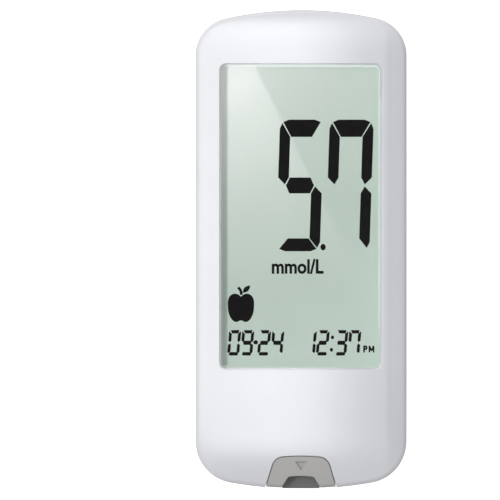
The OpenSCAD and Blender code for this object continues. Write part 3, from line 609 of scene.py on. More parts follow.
def metal(name, tone, roughness, stretch=(1, 1, 1)):
    """Metal with drawn or plated grain, and a slight change of gloss."""
    surface = Surface(name).set(Metallic=1.0)
    grain = surface.noise(0.3, 3, stretch)
    surface.paint(surface.noise(3, 3), shade(tone, 0.93), shade(tone, 1.05))
    surface.wear(grain, roughness - 0.07, roughness + 0.07)
    surface.bump(grain, 0.002)
    return surface


def clear_pane(name):
    """Clear polished plastic: it mirrors at its outside only, and lets the rest through."""
    surface = Surface(name)
    mirror = surface.node("BsdfAnisotropic", Roughness=surface.scaled(surface.noise(9, 2), 0.015, 0.045))
    through = surface.node("BsdfTransparent", (0.994, 0.998, 0.995, 1))
    inside = surface.node("NewGeometry").outputs["Backfacing"]
    outside = surface.node("Math", 1, inside, operation="SUBTRACT")
    factor = surface.node("Math", surface.node("Fresnel", IOR=1.49), outside, operation="MULTIPLY")
    surface.show(surface.node("MixShader", factor, through, mirror))
    return surface


def cell_glass(name):
    surface = Surface(name).set(Transmission_Weight=0.9, IOR=1.5)
    surface.paint(surface.noise(12, 1), (0.8, 0.88, 0.83, 1), (0.84, 0.9, 0.86, 1))
    surface.wear(surface.noise(2, 2), 0.03, 0.07)
    return surface


def polished_film(name, tone, polish):
    """A matt colour under a polished film, such as the display's green gray."""
    surface = Surface(name)
    surface.cloud(14, tone, 0.015)
    surface.wear(surface.noise(0.5, 2), 0.5, 0.6)
    surface.set(Specular_IOR_Level=0.1, Coat_Weight=polish, Coat_Roughness=0.02)
    return surface


def printed_board(name):
    """Green solder mask over paler tracks."""
    surface = Surface(name)
    black = (0, 0, 0, 1)
    tracks = surface.node(
        "TexBrick", surface.place, black, black, (1, 1, 1, 1),
        Scale=1 / (9 * MM), Mortar_Size=0.035, offset=0.37
    )
    surface.paint(tracks, colour(24, 84, 48), colour(48, 122, 72))
    surface.wear(surface.noise(1, 2), 0.28, 0.4)
    surface.bump(tracks, 0.03)
    return surface


def zebra_rubber(name):
    """Layers of pale and carbon-filled silicone rubber across the strip."""
    surface = Surface(name)
    layers = surface.node("TexWave", surface.place, Scale=1 / (1.2 * MM), Distortion=0.0)
    surface.paint(layers.outputs["Fac"], colour(40, 38, 38), colour(216, 176, 168))
    surface.wear(surface.noise(0.6, 2), 0.55, 0.7)
    return surface


def foam(name):
    surface = Surface(name)
    pores = surface.cells(0.3)
    surface.paint(pores, colour(30, 30, 32), colour(52, 52, 54), 0.1, 0.9)
    surface.wear(surface.noise(0.4, 2), 0.8, 0.95)
    surface.bump(pores, 0.03)
    return surface


def label_foil(name):
    surface = Surface(name).set(Metallic=0.25)
    brushed = surface.noise(0.5, 3, (0.06, 1, 1))
    surface.paint(brushed, colour(214, 216, 219), colour(226, 228, 230))
    surface.wear(brushed, 0.36, 0.46)
    surface.bump(brushed, 0.001)
    return surface


# Slot and kind, then tone, roughness or polish, and what else sets it apart
MATERIAL_ROWS = [
    ("case_front", coated_plastic, (229, 230, 235), 0.19),
    ("case_back", textured_plastic, (226, 227, 231), 0.52),
    ("window", clear_pane),
    ("foam", foam),
    ("lcd_face", polished_film, (232, 248, 237), 1.0),
    ("lcd_glass", cell_glass),
    ("lcd_reflector", plastic, (196, 204, 194), 0.6),
    ("frame_plastic", plastic, (222, 221, 214), 0.5),
    ("elastomer", zebra_rubber),
    ("board", printed_board),
    ("chip_black", plastic, (38, 38, 40), 0.55, {"grain": 0.12, "depth": 0.006}),
    ("chip_brown", plastic, (128, 104, 82), 0.5, {"vary": 0.08, "cloud": 1.5}),
    ("tin", metal, (206, 204, 196), 0.34),
    ("switch_black", plastic, (40, 40, 42), 0.5),
    ("connector_black", plastic, (34, 34, 35), 0.5),
    ("gold", metal, (226, 186, 106), 0.26),
    ("guide_grey", plastic, (112, 114, 112), 0.42, {"vary": 0.03}),
    ("ejector_grey", plastic, (186, 185, 183), 0.4, {"vary": 0.015, "depth": 0.003}),
    ("spring_steel", metal, (196, 198, 202), 0.25, {"stretch": (1, 0.1, 1)}),
    ("cell_steel", metal, (212, 211, 206), 0.27, {"stretch": (0.15, 1, 1)}),
    ("screw_steel", metal, (178, 179, 183), 0.3),
    ("button_grey", plastic, (150, 151, 154), 0.45),
    ("plunger", plastic, (212, 208, 196), 0.4),
    ("label", label_foil),
]


def make_materials():
    """The material of each slot."""
    made = {}
    for slot, kind, *values in MATERIAL_ROWS:
        others = values.pop() if values and isinstance(values[-1], dict) else {}
        if values:
            values[0] = colour(*values[0])
        made[slot] = kind(slot, *values, **others).material
    return made


MATERIALS = make_materials()


# ---- The case

def inset(x, y):
    """How far a point lies inside the case's outline."""
    if y > 0:
        reach, arc_r, corner_r = TOP_L, TOP_ARC_R, TOP_CORNER_R
    else:
        reach, arc_r, corner_r = LOW_L, LOW_ARC_R, LOW_CORNER_R
    x = abs(x)
    y = abs(y)
    corner_x, corner_y = corner_centre(reach, arc_r, corner_r)
    middle = reach - arc_r
    if y > corner_y and x * (corner_y - middle) > corner_x * (y - middle):
        return corner_r - math.hypot(x - corner_x, y - corner_y)
    return min(HALF_W - x, arc_r - math.hypot(x, y - middle))


def back_z(x, y):
    """Height of the back case's face over a point, where the back sweeps up to its sides."""
    turn = 1 - min(1.0, max(0.0, (inset(x, y) - REAR_STEP) / REAR_SWEEP))
    return PARTING_Z * (1 - math.sqrt(1 - turn * turn))


def flank_x(z):
    """Distance from the case's middle to its flank at the height z."""
    turn = (PARTING_Z - z) / PARTING_Z
    return HALF_W - REAR_STEP - REAR_SWEEP * (1 - math.sqrt(1 - turn * turn))


def on_back(u, v, w):
    return -u, v, -w


def on_right(u, v, w):
    return w, u, v


def on_left(u, v, w):
    return -w, -u, v


def turned(rings, place):
    """Rings drawn for a face that looks up, set on the face that place stands for."""
    return [[place(*p) for p in ring] for ring in rings]


def held_inside(node, rings):
    """What a CAD shell holds inside its walls, such as its posts, rails and battery bay."""
    return carve(merged_copy(node), loft("cavity", rings), "INTERSECT")


def front_case():
    rim = [
        at_height(outline(PARTING_ROUND), PARTING_Z),
        at_height(outline(PARTING_BEND), PARTING_Z + PARTING_BEND),
    ]
    piece = loft("front_case", rim + front_rings(0, 0, PARTING_Z + PARTING_ROUND))
    carve(piece, loft("hollow", front_rings(WALL, PLATE_T, PARTING_Z - PAST)))
    cavity = front_rings(WALL - SKIN, PLATE_T - SKIN, SHELL_LOW.z - PAST)
    carve(piece, held_inside("front_shell", cavity), "UNION")
    collar = prism("collar", opening_outline(COLLAR_T), FILM_HIGH.z + SKIN / 2, PANE_LOW.z - SKIN)
    carve(piece, collar, "UNION")
    carve(piece, prism("cut", opening_outline(0), FILM_LOW.z, BODY_H))
    pocket = rim_rings(pocket_outline, PANE_LOW.z - BORDER_T, POCKET_ROUND, lambda x, y: BODY_H, steps=1)
    carve(piece, loft("cut", pocket))
    opening = rim_rings(
        lambda grow: cover_outline(COVER_GAP + grow), PARTING_Z - PAST, COVER_ROUND, front_z
    )
    carve(piece, loft("cut", opening))
    even_face(smooth(piece), front_z)
    return stand_for(piece, "case", "case_front", "front_shell")


def border_outline(left, right, ends):
    """The pocket's outline moved in at its left side, its right side and its two ends."""
    middle = ((left - right) / 2, WINDOW_Y)
    return rounded_rectangle(POCKET_W - left - right, POCKET_L - 2 * ends, POCKET_R - ends, middle)


def window_border():
    """A pale ring just under the window near its edge: a painted highlight that stands in for the light
    line along the window's bevel, lit also by the rim light alone.
    """
    low, high = PANE_LOW.z - BORDER_T, PANE_LOW.z - BORDER_GAP
    piece = prism("window_border", border_outline(*BORDER_OUTER), low, high)
    carve(piece, prism("cut", border_outline(*BORDER_INNER), low - PAST, high + PAST))
    # Near white, so that the ring shows the painted highlight of the window's edge
    ink = polished_film("window_border", colour(234, 247, 238), 0.8)
    return stand_for(piece, "case", "frame_plastic", material=ink.material)


# Openings of the back case
DOOR_T = 1.4
DOOR_GAP = 0.12
DOOR_R = 0.25
DOOR_RIM = 0.15
FIT = 0.1
SCREW_PLACES = [(14, 45), (-14, 45), (15, -42), (-15, -42)]
SCREW_HEAD_R = 1.75
SCREW_SINK = 2.3
HEAD_GAP = 0.15
HEAD_RIM = 0.25
SOUND_R = 0.6
SOUND_RIM = 0.2
SOUND_PITCH = 2.4
SOUND_Y = 34.1
LABEL_R = 1
LABEL_RIM = 0.06
LABEL_SINK = 0.15
BUTTON_L = 8
BUTTON_H = 3
BUTTON_END_R = BUTTON_H / 2 + FIT - 0.001
BUTTON_RIM = 0.2
BUTTON_DEPTH = 5
SLOT_R = 0.05


def around(node, r, gap):
    """The outline of a hole around a CAD node on the case's middle line, as a function of grow."""
    low, high = box_mm(node)
    return growing_rectangle(high.x - low.x, high.y - low.y, r, (0, (low.y + high.y) / 2), gap)


def growing_circle(centre, r, steps):
    """The outline of a round hole, as a function of grow."""
    return lambda grow: arc(centre, r + grow, 0, 360, steps)[:-1]


def back_openings():
    """Shape, depth inside the case and size of the round rim of each cut in the back."""
    cuts = [
        (around("battery_door", DOOR_R, DOOR_GAP), DOOR_T + FIT, DOOR_RIM),
        (around("rating_label", LABEL_R, FIT), LABEL_SINK, LABEL_RIM),
    ]
    for place in SCREW_PLACES:
        cuts.append((growing_circle(place, SCREW_HEAD_R + HEAD_GAP, HEAD_STEPS), SCREW_SINK, HEAD_RIM))
    for i in (-1, 0, 1):
        hole = growing_circle((i * SOUND_PITCH, SOUND_Y), SOUND_R, SOUND_STEPS)
        cuts.append((hole, BACK_T + PAST, SOUND_RIM))
    return cuts


def rear_case():
    body = rear_rings(REAR_STEP, PARTING_Z, 0)[:-1]
    body += [
        at_height(outline(REAR_STEP), PARTING_Z - PARTING_ROUND),
        at_height(outline(REAR_STEP + PARTING_BEND), PARTING_Z - PARTING_BEND),
        at_height(outline(REAR_STEP + PARTING_ROUND), PARTING_Z),
    ]
    piece = loft("rear_case", body)
    inner = REAR_STEP + REAR_WALL
    carve(piece, loft("hollow", rear_rings(inner, PARTING_Z - BACK_T, PAST)))
    cavity = rear_rings(inner - SKIN, PARTING_Z - BACK_T + SKIN, 0)[:-1]
    cavity += [
        at_height(outline(inner - SKIN), PARTING_Z - SKIN),
        at_height(outline(WALL / 2), PARTING_Z - SKIN),
        at_height(outline(WALL / 2), PARTING_Z + 2 * PAST),
    ]
    carve(piece, held_inside("rear_shell", cavity), "UNION")
    for shape, depth, r in back_openings():
        cut = rim_rings(shape, -depth, r, lambda u, v: -back_z(u, v))
        carve(piece, loft("cut", turned(cut, on_back)))
    for node, place in (("up_button", on_right), ("down_button", on_right), ("power_button", on_left)):
        low, high = box_mm(node)
        side = 1 if place == on_right else -1
        middle = (side * (low.y + high.y) / 2, (low.z + high.z) / 2)
        shape = growing_rectangle(BUTTON_L, BUTTON_H, BUTTON_END_R, middle, FIT)
        hole = rim_rings(shape, HALF_W - BUTTON_DEPTH, BUTTON_RIM, lambda u, v: flank_x(v))
        carve(piece, loft("cut", turned(hole, place)))
    slot_w = GUIDE_HIGH.x - GUIDE_LOW.x + 2 * FIT
    slot = rounded_rectangle(slot_w, 2 * (GUIDE_HIGH.y + PAST - END_Y), SLOT_R, (0, END_Y), 1)
    carve(piece, prism("cut", slot, GUIDE_LOW.z, BODY_H))
    stand_for(smooth(piece), "case", "case_back", "rear_shell")


# ---- The thumb slide

SKIRT_Z = 10.95
POINTER_SLOPE = 0.24
POINTER_INRADIUS = 0.28 * POINTER_L


def pointer_outline(grow):
    """The sunk pointer, towards the strip end."""
    corners = [(POINTER_W / 2, POINTER_L / 2), (-POINTER_W / 2, POINTER_L / 2), (0, -POINTER_L / 2)]
    reach = 1 + grow / POINTER_INRADIUS
    return [(x * reach, POINTER_Y + y * reach) for x, y in corners]


def slide_z(x, y):
    return front_z(x, y) - COVER_SINK


def thumb_slide():
    piece = loft("thumb_slide", front_rings(COVER_SINK, COVER_SINK, PARTING_Z))
    plug = rim_rings(cover_outline, SKIRT_Z, COVER_ROUND, slide_z, True)
    carve(piece, loft("plug", plug), "INTERSECT")
    under = COVER_SINK + COVER_T
    carve(piece, loft("hollow", front_rings(under, under, PARTING_Z - PAST)))
    below = front_rings(under - SKIN, under - SKIN, SHELL_LOW.z - PAST)
    carve(piece, held_inside("strip_ejector", below), "UNION")
    carve(piece, loft("scoop", rim_rings(scoop_outline, PARTING_Z - PAST, SCOOP_ROUND, slide_z)))
    dent = [
        over_face(pointer_outline(-POINTER_SLOPE), slide_z, -POINTER_DEPTH),
        over_face(pointer_outline(0), slide_z, 0),
        over_face(pointer_outline(0), slide_z, PAST),
    ]
    carve(piece, loft("dent", dent))
    even_face(smooth(piece), slide_z)
    stand_for(piece, "ejector", "ejector_grey", "strip_ejector")


# ---- The springs

SPRING_LOW, SPRING_HIGH = box_mm("ejector_springs")
SPRING_R = 0.65
SPRING_WIRE = 0.15
SPRING_TURNS = 6
TURN_STEPS = 32
WIRE_STEPS = 10


def coil_rings(x):
    """Rings of round wire along a coil with closed end turns."""
    mid_r = SPRING_R - SPRING_WIRE
    middle_z = (SPRING_LOW.z + SPRING_HIGH.z) / 2
    start = SPRING_LOW.y + SPRING_WIRE
    length = SPRING_HIGH.y - SPRING_LOW.y - 2 * SPRING_WIRE
    rings = []
    for i in range(SPRING_TURNS * TURN_STEPS + 1):
        a = 2 * math.pi * i / TURN_STEPS
        ring = []
        for k in range(WIRE_STEPS):
            b = 2 * math.pi * k / WIRE_STEPS
            r = mid_r + SPRING_WIRE * math.cos(b)
            y = start + length * i / (SPRING_TURNS * TURN_STEPS) + SPRING_WIRE * math.sin(b)
            ring.append((x + r * math.cos(a), y, middle_z + r * math.sin(a)))
        rings.append(ring)
    return rings


def springs():
    reach = SPRING_HIGH.x - SPRING_R
    piece = loft("springs", coil_rings(-reach))
    carve(piece, loft("spring", coil_rings(reach)), "UNION")
    piece.data.shade_smooth()
    stand_for(piece, "case", "spring_steel", "ejector_springs")
    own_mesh(piece)


FRONT = front_case()
# The pale ring of painted highlight along the window's edge
HIGHLIGHT_RING = window_border()
rear_case()
thumb_slide()
springs()


# ---- The other CAD nodes

# Width of the round on the pieces' edges
ROUNDS = {
    0.03: ["rating_label"],
    0.05: ["chip_parts", "thermistor"],
    0.06: ["main_board", "microcontroller", "zebra_connector"],
    0.08: ["display_window", "up_plunger", "down_plunger", "power_plunger"],
    0.1: ["tact_switches"],
    0.12: ["strip_connector", "battery_door", "case_screws"],
    0.15: ["lcd_frame", "strip_guide", "upper_cell", "lower_cell"],
    0.2: ["crystal"],
    0.25: ["up_button", "down_button", "power_button"],
    0.3: ["buzzer"],
}


def finish_nodes():
    """Gives every CAD node its record's finish, and rounds edges."""
    for row in frame["record"]["subparts"]:
        paint(NODES[row["node"]], MATERIALS[row["material_slot"]])
    for width, nodes in ROUNDS.items():
        for node in nodes:
            bevelled(node, width)


finish_nodes()


# ---- What the display shows

FILM_TOP = FILM_HIGH.z
INK_T = 0.02
PIXEL = 0.2179
MIDDLE_PX = (301, 248.6)
SEGMENTS = {
    "0": "abcdef", "1": "bc", "2": "abged", "3": "abgcd", "4": "fgbc",
    "5": "afgcd", "7": "afbc", "9": "afgbcd",
}

# How far from a digit's waist its upright bars end, and how far in their points lie, as shares of
# their thickness; and how far its corners are cut, as a share of their size
WAIST = 0.75
TIP = 0.64
CUT = 0.31


def on_film(px, py):
    """The place on the display of a point of the photograph, whose pixels are PIXEL wide."""
    return (px - MIDDLE_PX[0]) * PIXEL, (MIDDLE_PX[1] - py) * PIXEL


def both_sides(w, points):
    """A shape from its left half, in a cell of width w."""
    return points + [(w - x, y) for x, y in reversed(points)]


def waist_of(h, side, middle):
    """A digit's waist: its row, the middle bar's edges, and the ends and points of the upright bars."""
    return h / 2, (h - middle) / 2, (h + middle) / 2, WAIST * side, TIP * side


def mitred_bars(w, h, side, top, middle, low, corner, gap):
    """The bars of a large digit, which meet at its corners along mitred gaps."""
    half, up, down, waist, tip = waist_of(h, side, middle)
    bend = CUT * corner
    g = gap / 2
    return {
        "a": both_sides(w, [(side + gap, top), (bend + g, bend - g), (corner, 0)]),
        "f": [
            (bend - g, bend + g), (0, corner), (0, half - waist), (tip, half - gap),
            (side, up), (side, top)
        ],
        "g": both_sides(w, [(side + gap, down), (waist, half), (side + gap, up)]),
        "e": [
            (tip, half + gap), (0, half + waist), (0, h - corner), (bend, h - bend - g),
            (side, h - low), (side, down)
        ],
        "d": both_sides(w, [(corner, h), (bend + g, h - bend + g), (side + gap, h - low)]),
    }


def blunt_bars(w, h, side, top, middle, low, corner, gap):
    """The bars of a small digit: its level bars are blunt and lie between the upright ones.

    The numbers in the points are how far its bars' ends lean out or in."""
    half, up, down, waist, tip = waist_of(h, side, middle)
    end = side - gap / 2
    far = w - end
    return {
        "a": [(end - 0.24, 0), (far + 0.18, 0), (far + 0.04, top), (end + 0.1, top)],
        "f": [
            (0.1, top / 2 - 0.09), (0, corner), (0, half - waist), (tip, half - gap),
            (side, up), (side, top + gap)
        ],
        "g": [
            (end - 0.15, half), (end - 0.02, up), (far, up), (far + 0.12, half), (far, down),
            (end - 0.02, down)
        ],
        "e": [
            (tip, half + gap), (0, half + waist), (0, h - low), (0.24, h - low + 0.22),
            (side, h - low - gap), (side, down)
        ],
        "d": [
            (end - 0.04, h - low), (far + 0.16, h - low), (far + 0.32, h - low / 2),
            (far + 0.18, h), (end - 0.1, h), (end - 0.22, h - low / 2)
        ],
    }


class Digits:
    """Seven-segment digits of one size, from a function that draws the middle and the left bars."""

    def __init__(self, bars, slant, w, **sizes):
        self.slant = slant
        self.shapes = bars(w, **sizes)
        self.shapes["b"] = [(w - x, y) for x, y in self.shapes["f"]]
        self.shapes["c"] = [(w - x, y) for x, y in self.shapes["e"]]

    def shapes_of(self, character, corner):
        """A digit's bars on the film, in a cell with this upper left corner."""
        return [
            [(corner[0] + x - self.slant * y, corner[1] - y) for x, y in self.shapes[bar]]
            for bar in SEGMENTS[character]
        ]


BIG = Digits(
    mitred_bars, slant=0.033, w=9.6, h=28.7,
    side=2.32, top=3.75, middle=3.45, low=2.8, corner=2.0, gap=0.22
)
SMALL = Digits(
    blunt_bars, slant=0.087, w=2.62, h=5.53,
    side=0.64, top=0.72, middle=0.9, low=0.74, corner=0.46, gap=0.13
)
DASH = [(0.25, 0), (0, 0.43), (0.25, 0.87), (0.82, 0.87), (1.07, 0.43), (0.82, 0)]

# Upper left corners of the digits, in the photograph's pixels
BIG_TOP = 119.5
BIG_LEFT = [("5", 280.1), ("7", 329.8)]
SMALL_TOP = 330.2
DATE_LEFT = [("0", 229.2), ("9", 242.3), ("2", 259.2), ("4", 272.4)]
TIME_LEFT = [("1", 305.0), ("2", 317.9), ("3", 336.5), ("7", 349.5)]
DASH_CORNER = (253.2, 340.4)
POINT_PLACE = (323.1, 247.1)
POINT_SIZE = (1.16, 1.4)
COLON_PLACES = [(332.5, 337.4), (331.5, 349.9)]
COLON_SIZE = (0.68, 0.84)
LETTER_M = [(369.5, 352.5), (369.5, 345.9), (371.6, 351), (373.7, 345.9), (373.7, 352.5)]
LETTER_M_T = 0.32

# Letters from a font: left and right column, base row, height in pixels, and added weight
LETTERS = [
    ("mmol/L", 271.8, 323.7, 273.9, 14.9, 0.29),
    ("P", 363.3, 367.6, 352.6, 7.0, 0.55),
]
FONT_SIZE = 10

# A whole apple of my own drawing: half its outline, from the dip at the stem down to the notch
APPLE_PLACE = (240.9, 308)
APPLE_SIDE = [
    (0, 2.5), (0.62, 2.95), (1.5, 3.1), (2.4, 2.6), (2.84, 1.5), (2.85, 0.3),
    (2.76, -0.75), (2.46, -1.7), (2.0, -2.5), (1.4, -2.97), (0.85, -3.02), (0.38, -2.82), (0, -2.72)
]
STEM_LINE = [(-0.62, 4.5), (-0.2, 4.0), (0.05, 3.4), (0.08, 2.86)]
STEM_T = 0.58
LEAF_FROM = (0.38, 3.3)
LEAF_TO = (2.02, 4.92)
LEAF_SWELL = 0.52
LEAF_STEPS = 10
CURVE_STEPS = 6
ROUND_STEPS = 24


def curve_through(points, closed):
    """A Catmull-Rom curve through points."""
    if closed:
        ends = [points[-1]] + points + points[:2]
    else:
        ends = points[:1] + points + points[-1:]
    curve = []
    for i in range(len(ends) - 3):
        a, b, c, d = (Vector(p) for p in ends[i:i + 4])
        for k in range(CURVE_STEPS):
            t = k / CURVE_STEPS
            bend = (2 * a - 5 * b + 4 * c - d) * t * t + (3 * b - a - 3 * c + d) * t ** 3
            curve.append(0.5 * (2 * b + (c - a) * t + bend))
    if not closed:
        curve.append(Vector(points[-1]))
    return curve


def thick_line(points, t):
    """The outline of a line of thickness t."""
    left, right = [], []
    for i, p in enumerate(points):
        along = (points[min(i + 1, len(points) - 1)] - points[max(i - 1, 0)]).normalized()
        across = Vector((-along.y, along.x)) * t / 2
        left.append(p + across)
        right.append(p - across)
    return left + right[::-1]


def leaf():
    """A leaf of two arcs that meet in points."""
    start = Vector(LEAF_FROM)
    along = Vector(LEAF_TO) - start
    across = Vector((-along.y, along.x)).normalized() * LEAF_SWELL
    upper = []
    lower = []
    for i in range(LEAF_STEPS + 1):
        spine = start + along * i / LEAF_STEPS
        swell = across * math.sin(math.pi * i / LEAF_STEPS)
        upper.append(spine + swell)
        lower.append(spine - swell)
    return upper + lower[-2:0:-1]


def apple():
    left = [(-x, y) for x, y in APPLE_SIDE[-2:0:-1]]
    stem = thick_line(curve_through(STEM_LINE, False), STEM_T)
    shapes = [curve_through(APPLE_SIDE + left, True), stem, leaf()]
    middle = on_film(*APPLE_PLACE)
    return [[(p[0] + middle[0], p[1] + middle[1]) for p in shape] for shape in shapes]


def ellipse(centre, w, l):
    circle = arc((0, 0), 1, 0, 360, ROUND_STEPS)[:-1]
    return [(centre[0] + w / 2 * x, centre[1] + l / 2 * y) for x, y in circle]


def symbols():
    shapes = []
    for character, left in BIG_LEFT:
        shapes += BIG.shapes_of(character, on_film(left, BIG_TOP))
    for character, left in DATE_LEFT + TIME_LEFT:
        shapes += SMALL.shapes_of(character, on_film(left, SMALL_TOP))
    dash_x, dash_y = on_film(*DASH_CORNER)
    shapes.append([(dash_x + x, dash_y - y) for x, y in DASH])
    shapes.append(ellipse(on_film(*POINT_PLACE), *POINT_SIZE))
    for place in COLON_PLACES:
        shapes.append(ellipse(on_film(*place), *COLON_SIZE))
    for start, end in zip(LETTER_M, LETTER_M[1:]):
        shapes.append(thick_line([Vector(on_film(*start)), Vector(on_film(*end))], LETTER_M_T))
    return shapes + apple()


def lettering(body, left, right, base, height, bold):
    """The mesh of plain letters between two columns of the photograph, standing on the row base."""
    data = bpy.data.curves.new(body, "FONT")
    data.body = body
    data.size = FONT_SIZE * MM
    data.offset = bold * MM
    data.extrude = INK_T / 2 * MM
    data.resolution_u = 4
    text = in_scene(body, data)
    mesh = evaluated_mesh(text)
    bpy.data.objects.remove(text)
    points = [v.co for v in mesh.vertices]
    low_x = min(p.x for p in points)
    low_y = min(p.y for p in points)
    wide = (right - left) * PIXEL * MM / (max(p.x for p in points) - low_x)
    tall = height * PIXEL * MM / (max(p.y for p in points) - low_y)
    start = on_film(left, base)
    for p in points:
        p.x = start[0] * MM + (p.x - low_x) * wide
        p.y = start[1] * MM + (p.y - low_y) * tall
        p.z += (FILM_TOP + INK_T / 2) * MM
    return mesh


def display():
    """All that the display shows, as thin raised shapes on its front film."""
    form = bmesh.new()
    for shape in symbols():
        symbol = prism("symbol", shape, FILM_TOP, FILM_TOP + INK_T)
        form.from_mesh(symbol.data)
        bpy.data.objects.remove(symbol)
    for line in LETTERS:
        form.from_mesh(lettering(*line))
    piece = new_piece("display_symbols", [], [])
    form.to_mesh(piece.data)
    form.free()
    ink = Surface("lcd_ink").set(Specular_IOR_Level=0)
    ink.paint(ink.noise(2, 2), (0.017, 0.0157, 0.0163, 1), (0.0195, 0.018, 0.0188, 1))
    ink.wear(ink.noise(1, 2), 0.5, 0.6)
    stand_for(piece, "case", "switch_black", material=ink.material)


display()


# ---- The studio

FRAME_W = 108.75
CAMERA_X = -11.12
CAMERA_Y = -0.3
CAMERA_H = 1200
SENSOR_W = 36
CLIP_START = 50
CLIP_END = 10000
FLOOR_HALF = 3000
FLOOR_DROP = 0.02


def camera():
    data = bpy.data.cameras.new("camera")
    data.sensor_width = SENSOR_W
    data.lens = SENSOR_W * CAMERA_H / FRAME_W
    data.clip_start = CLIP_START * MM
    data.clip_end = CLIP_END * MM
    piece = in_scene("camera", data)
    piece.location = (CAMERA_X * MM, CAMERA_Y * MM, (BODY_H + CAMERA_H) * MM)
    bpy.context.scene.camera = piece


def sheet(name, corners, z):
    """A level card with four corners."""
    piece = new_piece(name, at_height(corners, z), [(0, 1, 2, 3)])
    return piece


def square(half):
    return [(-half, -half), (half, -half), (half, half), (-half, half)]


def floor():
    surface = Surface("paper").set(Emission_Color=(1, 1, 1, 1), Emission_Strength=0.8)
    surface.cloud(3, (0.86, 0.86, 0.86), 0.005, 3)
    surface.wear(surface.noise(2, 2), 0.85, 0.95)
    piece = paint(sheet("floor", square(FLOOR_HALF), 0), surface.material)
    piece.visible_glossy = False
    piece.visible_diffuse = False
    piece.location.z = -FLOOR_DROP * MM


def world(strength):
    sky = bpy.data.worlds.new("studio")
    sky.use_nodes = True
    backdrop = sky.node_tree.nodes["Background"]
    backdrop.inputs["Color"].default_value = (1, 1, 1, 1)
    backdrop.inputs["Strength"].default_value = strength
    bpy.context.scene.world = sky


def link_light(light, state, *pieces):
    """Links a light to these pieces alone (INCLUDE) or to all the others (EXCLUDE)."""
    group = bpy.data.collections.new(light.name + "_pieces")
    light.light_linking.receiver_collection = group
    for piece in pieces:
        group.objects.link(piece)
    for row in group.collection_objects:
        row.light_linking.link_state = state


# What the display's film mirrors: three cards high above it, whose glow falls off down the film.
# Rows and columns are the photograph's
CARD_H = 500
WINDOW_TOP = 64
WINDOW_COLUMNS = (219, 381.5)
GLARE_EDGE = [(254.6, 66), (334, 225)]
GLARE_LOW = 300
GLOW_LOW = 200
MARGIN = 14
SHADE_END = 227.5
GLOW_COLOUR = (1, 0.85, 0.94, 1)
FLAG_HALF = 160
FLAG_H = CARD_H + 20


def on_card(px, py):
    """Where the camera sees a card CARD_H above the window mirrored at a point of the photograph."""
    x, y = on_film(px, py)
    ratio = CARD_H / CAMERA_H
    return x + (x - CAMERA_X) * ratio, y + (y - CAMERA_Y) * ratio


def glossy_only(piece):
    piece.visible_camera = False
    piece.visible_diffuse = False
    piece.visible_shadow = False
    piece.visible_transmission = False


def slanted(py):
    """The column of the glare's straight edge on a row."""
    (top_x, top_y), (low_x, low_y) = GLARE_EDGE
    return top_x + (low_x - top_x) * (py - top_y) / (low_y - top_y)


def upright(px):
    """An edge that is on the same column on every row."""
    return lambda py: px


def glow_card(name, left_edge, right_edge, low, power, left, right):
    """A card between two edges that glows with strength left to right across the window.

    Its glow falls off to nothing on the row low, as the given power of the distance from it."""
    top = WINDOW_TOP - MARGIN
    ends = [(left_edge, low), (right_edge, low), (right_edge, top), (left_edge, top)]
    piece = sheet(name, [on_card(edge(py), py) for edge, py in ends], BODY_H + CARD_H)
    low_y, top_y = (on_card(0, py)[1] * MM for py in (low, WINDOW_TOP))
    left_x, right_x = (on_card(px, 0)[0] * MM for px in WINDOW_COLUMNS)
    light = Surface(name)
    place = light.node("SeparateXYZ", light.place)
    fall = light.node("MapRange", place.outputs["Y"], low_y, top_y)
    curve = light.node("Math", fall, power, operation="POWER")
    across = light.node("MapRange", place.outputs["X"], left_x, right_x, left, right)
    strength = light.node("Math", curve, across, operation="MULTIPLY")
    light.show(light.node("Emission", GLOW_COLOUR, strength))
    paint(piece, light.material)
    glossy_only(piece)
    link_light(piece, "EXCLUDE", NODES["display_window"], FRONT)


def window_reflections():
    left = upright(WINDOW_COLUMNS[0] - MARGIN)
    middle = upright(SHADE_END)
    right = upright(WINDOW_COLUMNS[1] + MARGIN)
    glow_card("glare", middle, slanted, GLARE_LOW, power=1.62, left=12.9, right=3.2)
    glow_card("glare_side", left, middle, GLARE_LOW, power=1.62, left=7.4, right=7.4)
    glow_card("glow", slanted, right, GLOW_LOW, power=1.3, left=6.9, right=1.2)


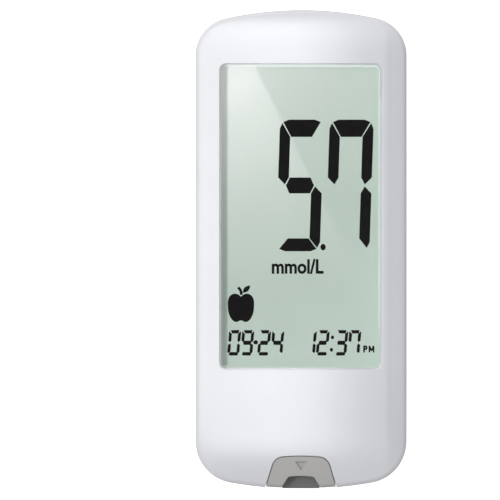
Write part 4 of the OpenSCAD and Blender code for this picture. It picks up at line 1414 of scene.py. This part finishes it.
def black_flag():
    """The black flag around the camera, which keeps the display's black from going gray."""
    cloth = Surface("flag")
    cloth.cloud(5, (0.004, 0.004, 0.004), 0.25)
    cloth.wear(cloth.noise(5, 2), 0.9, 1.0)
    glossy_only(paint(sheet("flag", square(FLAG_HALF), BODY_H + FLAG_H), cloth.material))


def area_light(name, place, target, size, power, length=None):
    data = bpy.data.lights.new(name, "AREA")
    data.energy = power
    data.size = size * MM
    if length:
        data.shape = "RECTANGLE"
        data.size_y = length * MM
    piece = in_scene(name, data)
    piece.location = [value * MM for value in place]
    aim = Vector(target) - Vector(place)
    piece.rotation_euler = aim.to_track_quat("-Z", "Y").to_euler()
    piece.visible_camera = False
    return piece


# Place, size and power of the lights around the part
AIM = (0, 0, 10)
LIGHTS = {
    "key": ((-520, 0, 1030), 120, 4.0),
    "head": ((-100, 900, 160), 200, 3.4),
    "side": ((-900, 0, 180), 200, 1.9),
    "fill": ((900, 0, 150), 200, 0.8),
    "rim": ((-300, -850, 160), 200, 22.0),
}


def lights():
    """The key light reaches all, the rim light the painted highlight ring alone, the others all but that
    ring and the film.
    """
    for name, (place, size, power) in LIGHTS.items():
        light = area_light(name, place, AIM, size, power)
        light.visible_glossy = False
        if name == "rim":
            link_light(light, "INCLUDE", HIGHLIGHT_RING)
        elif name != "key":
            link_light(light, "EXCLUDE", NODES["front_polarizer"], HIGHLIGHT_RING)


# The satin case mirrors a soft box over its left half, in bands: start and end along X, brightness
SOFT_BOX_H = 150
SOFT_BOX_Y = (-95, 118)
SOFT_BOX_BANDS = [(-260, -110, 1.3), (-110, -55, 1.75), (-55, -12, 2.25), (-12, 10, 3.2)]


def soft_box():
    start, end = SOFT_BOX_Y
    y = (start + end) / 2
    z = BODY_H + SOFT_BOX_H
    for i, (low, high, glow) in enumerate(SOFT_BOX_BANDS):
        x = (low + high) / 2
        watts = glow * math.pi * (high - low) * (end - start) * MM * MM
        band = area_light(f"soft_box_{i}", (x, y, z), (x, y, 0), high - low, watts, end - start)
        band.visible_diffuse = False
        link_light(band, "EXCLUDE", NODES["display_window"], NODES["front_polarizer"], HIGHLIGHT_RING)


camera()
floor()
window_reflections()
black_flag()
world(strength=0.42)
lights()
soft_box()
bpy.context.scene.view_settings.view_transform = "Standard"
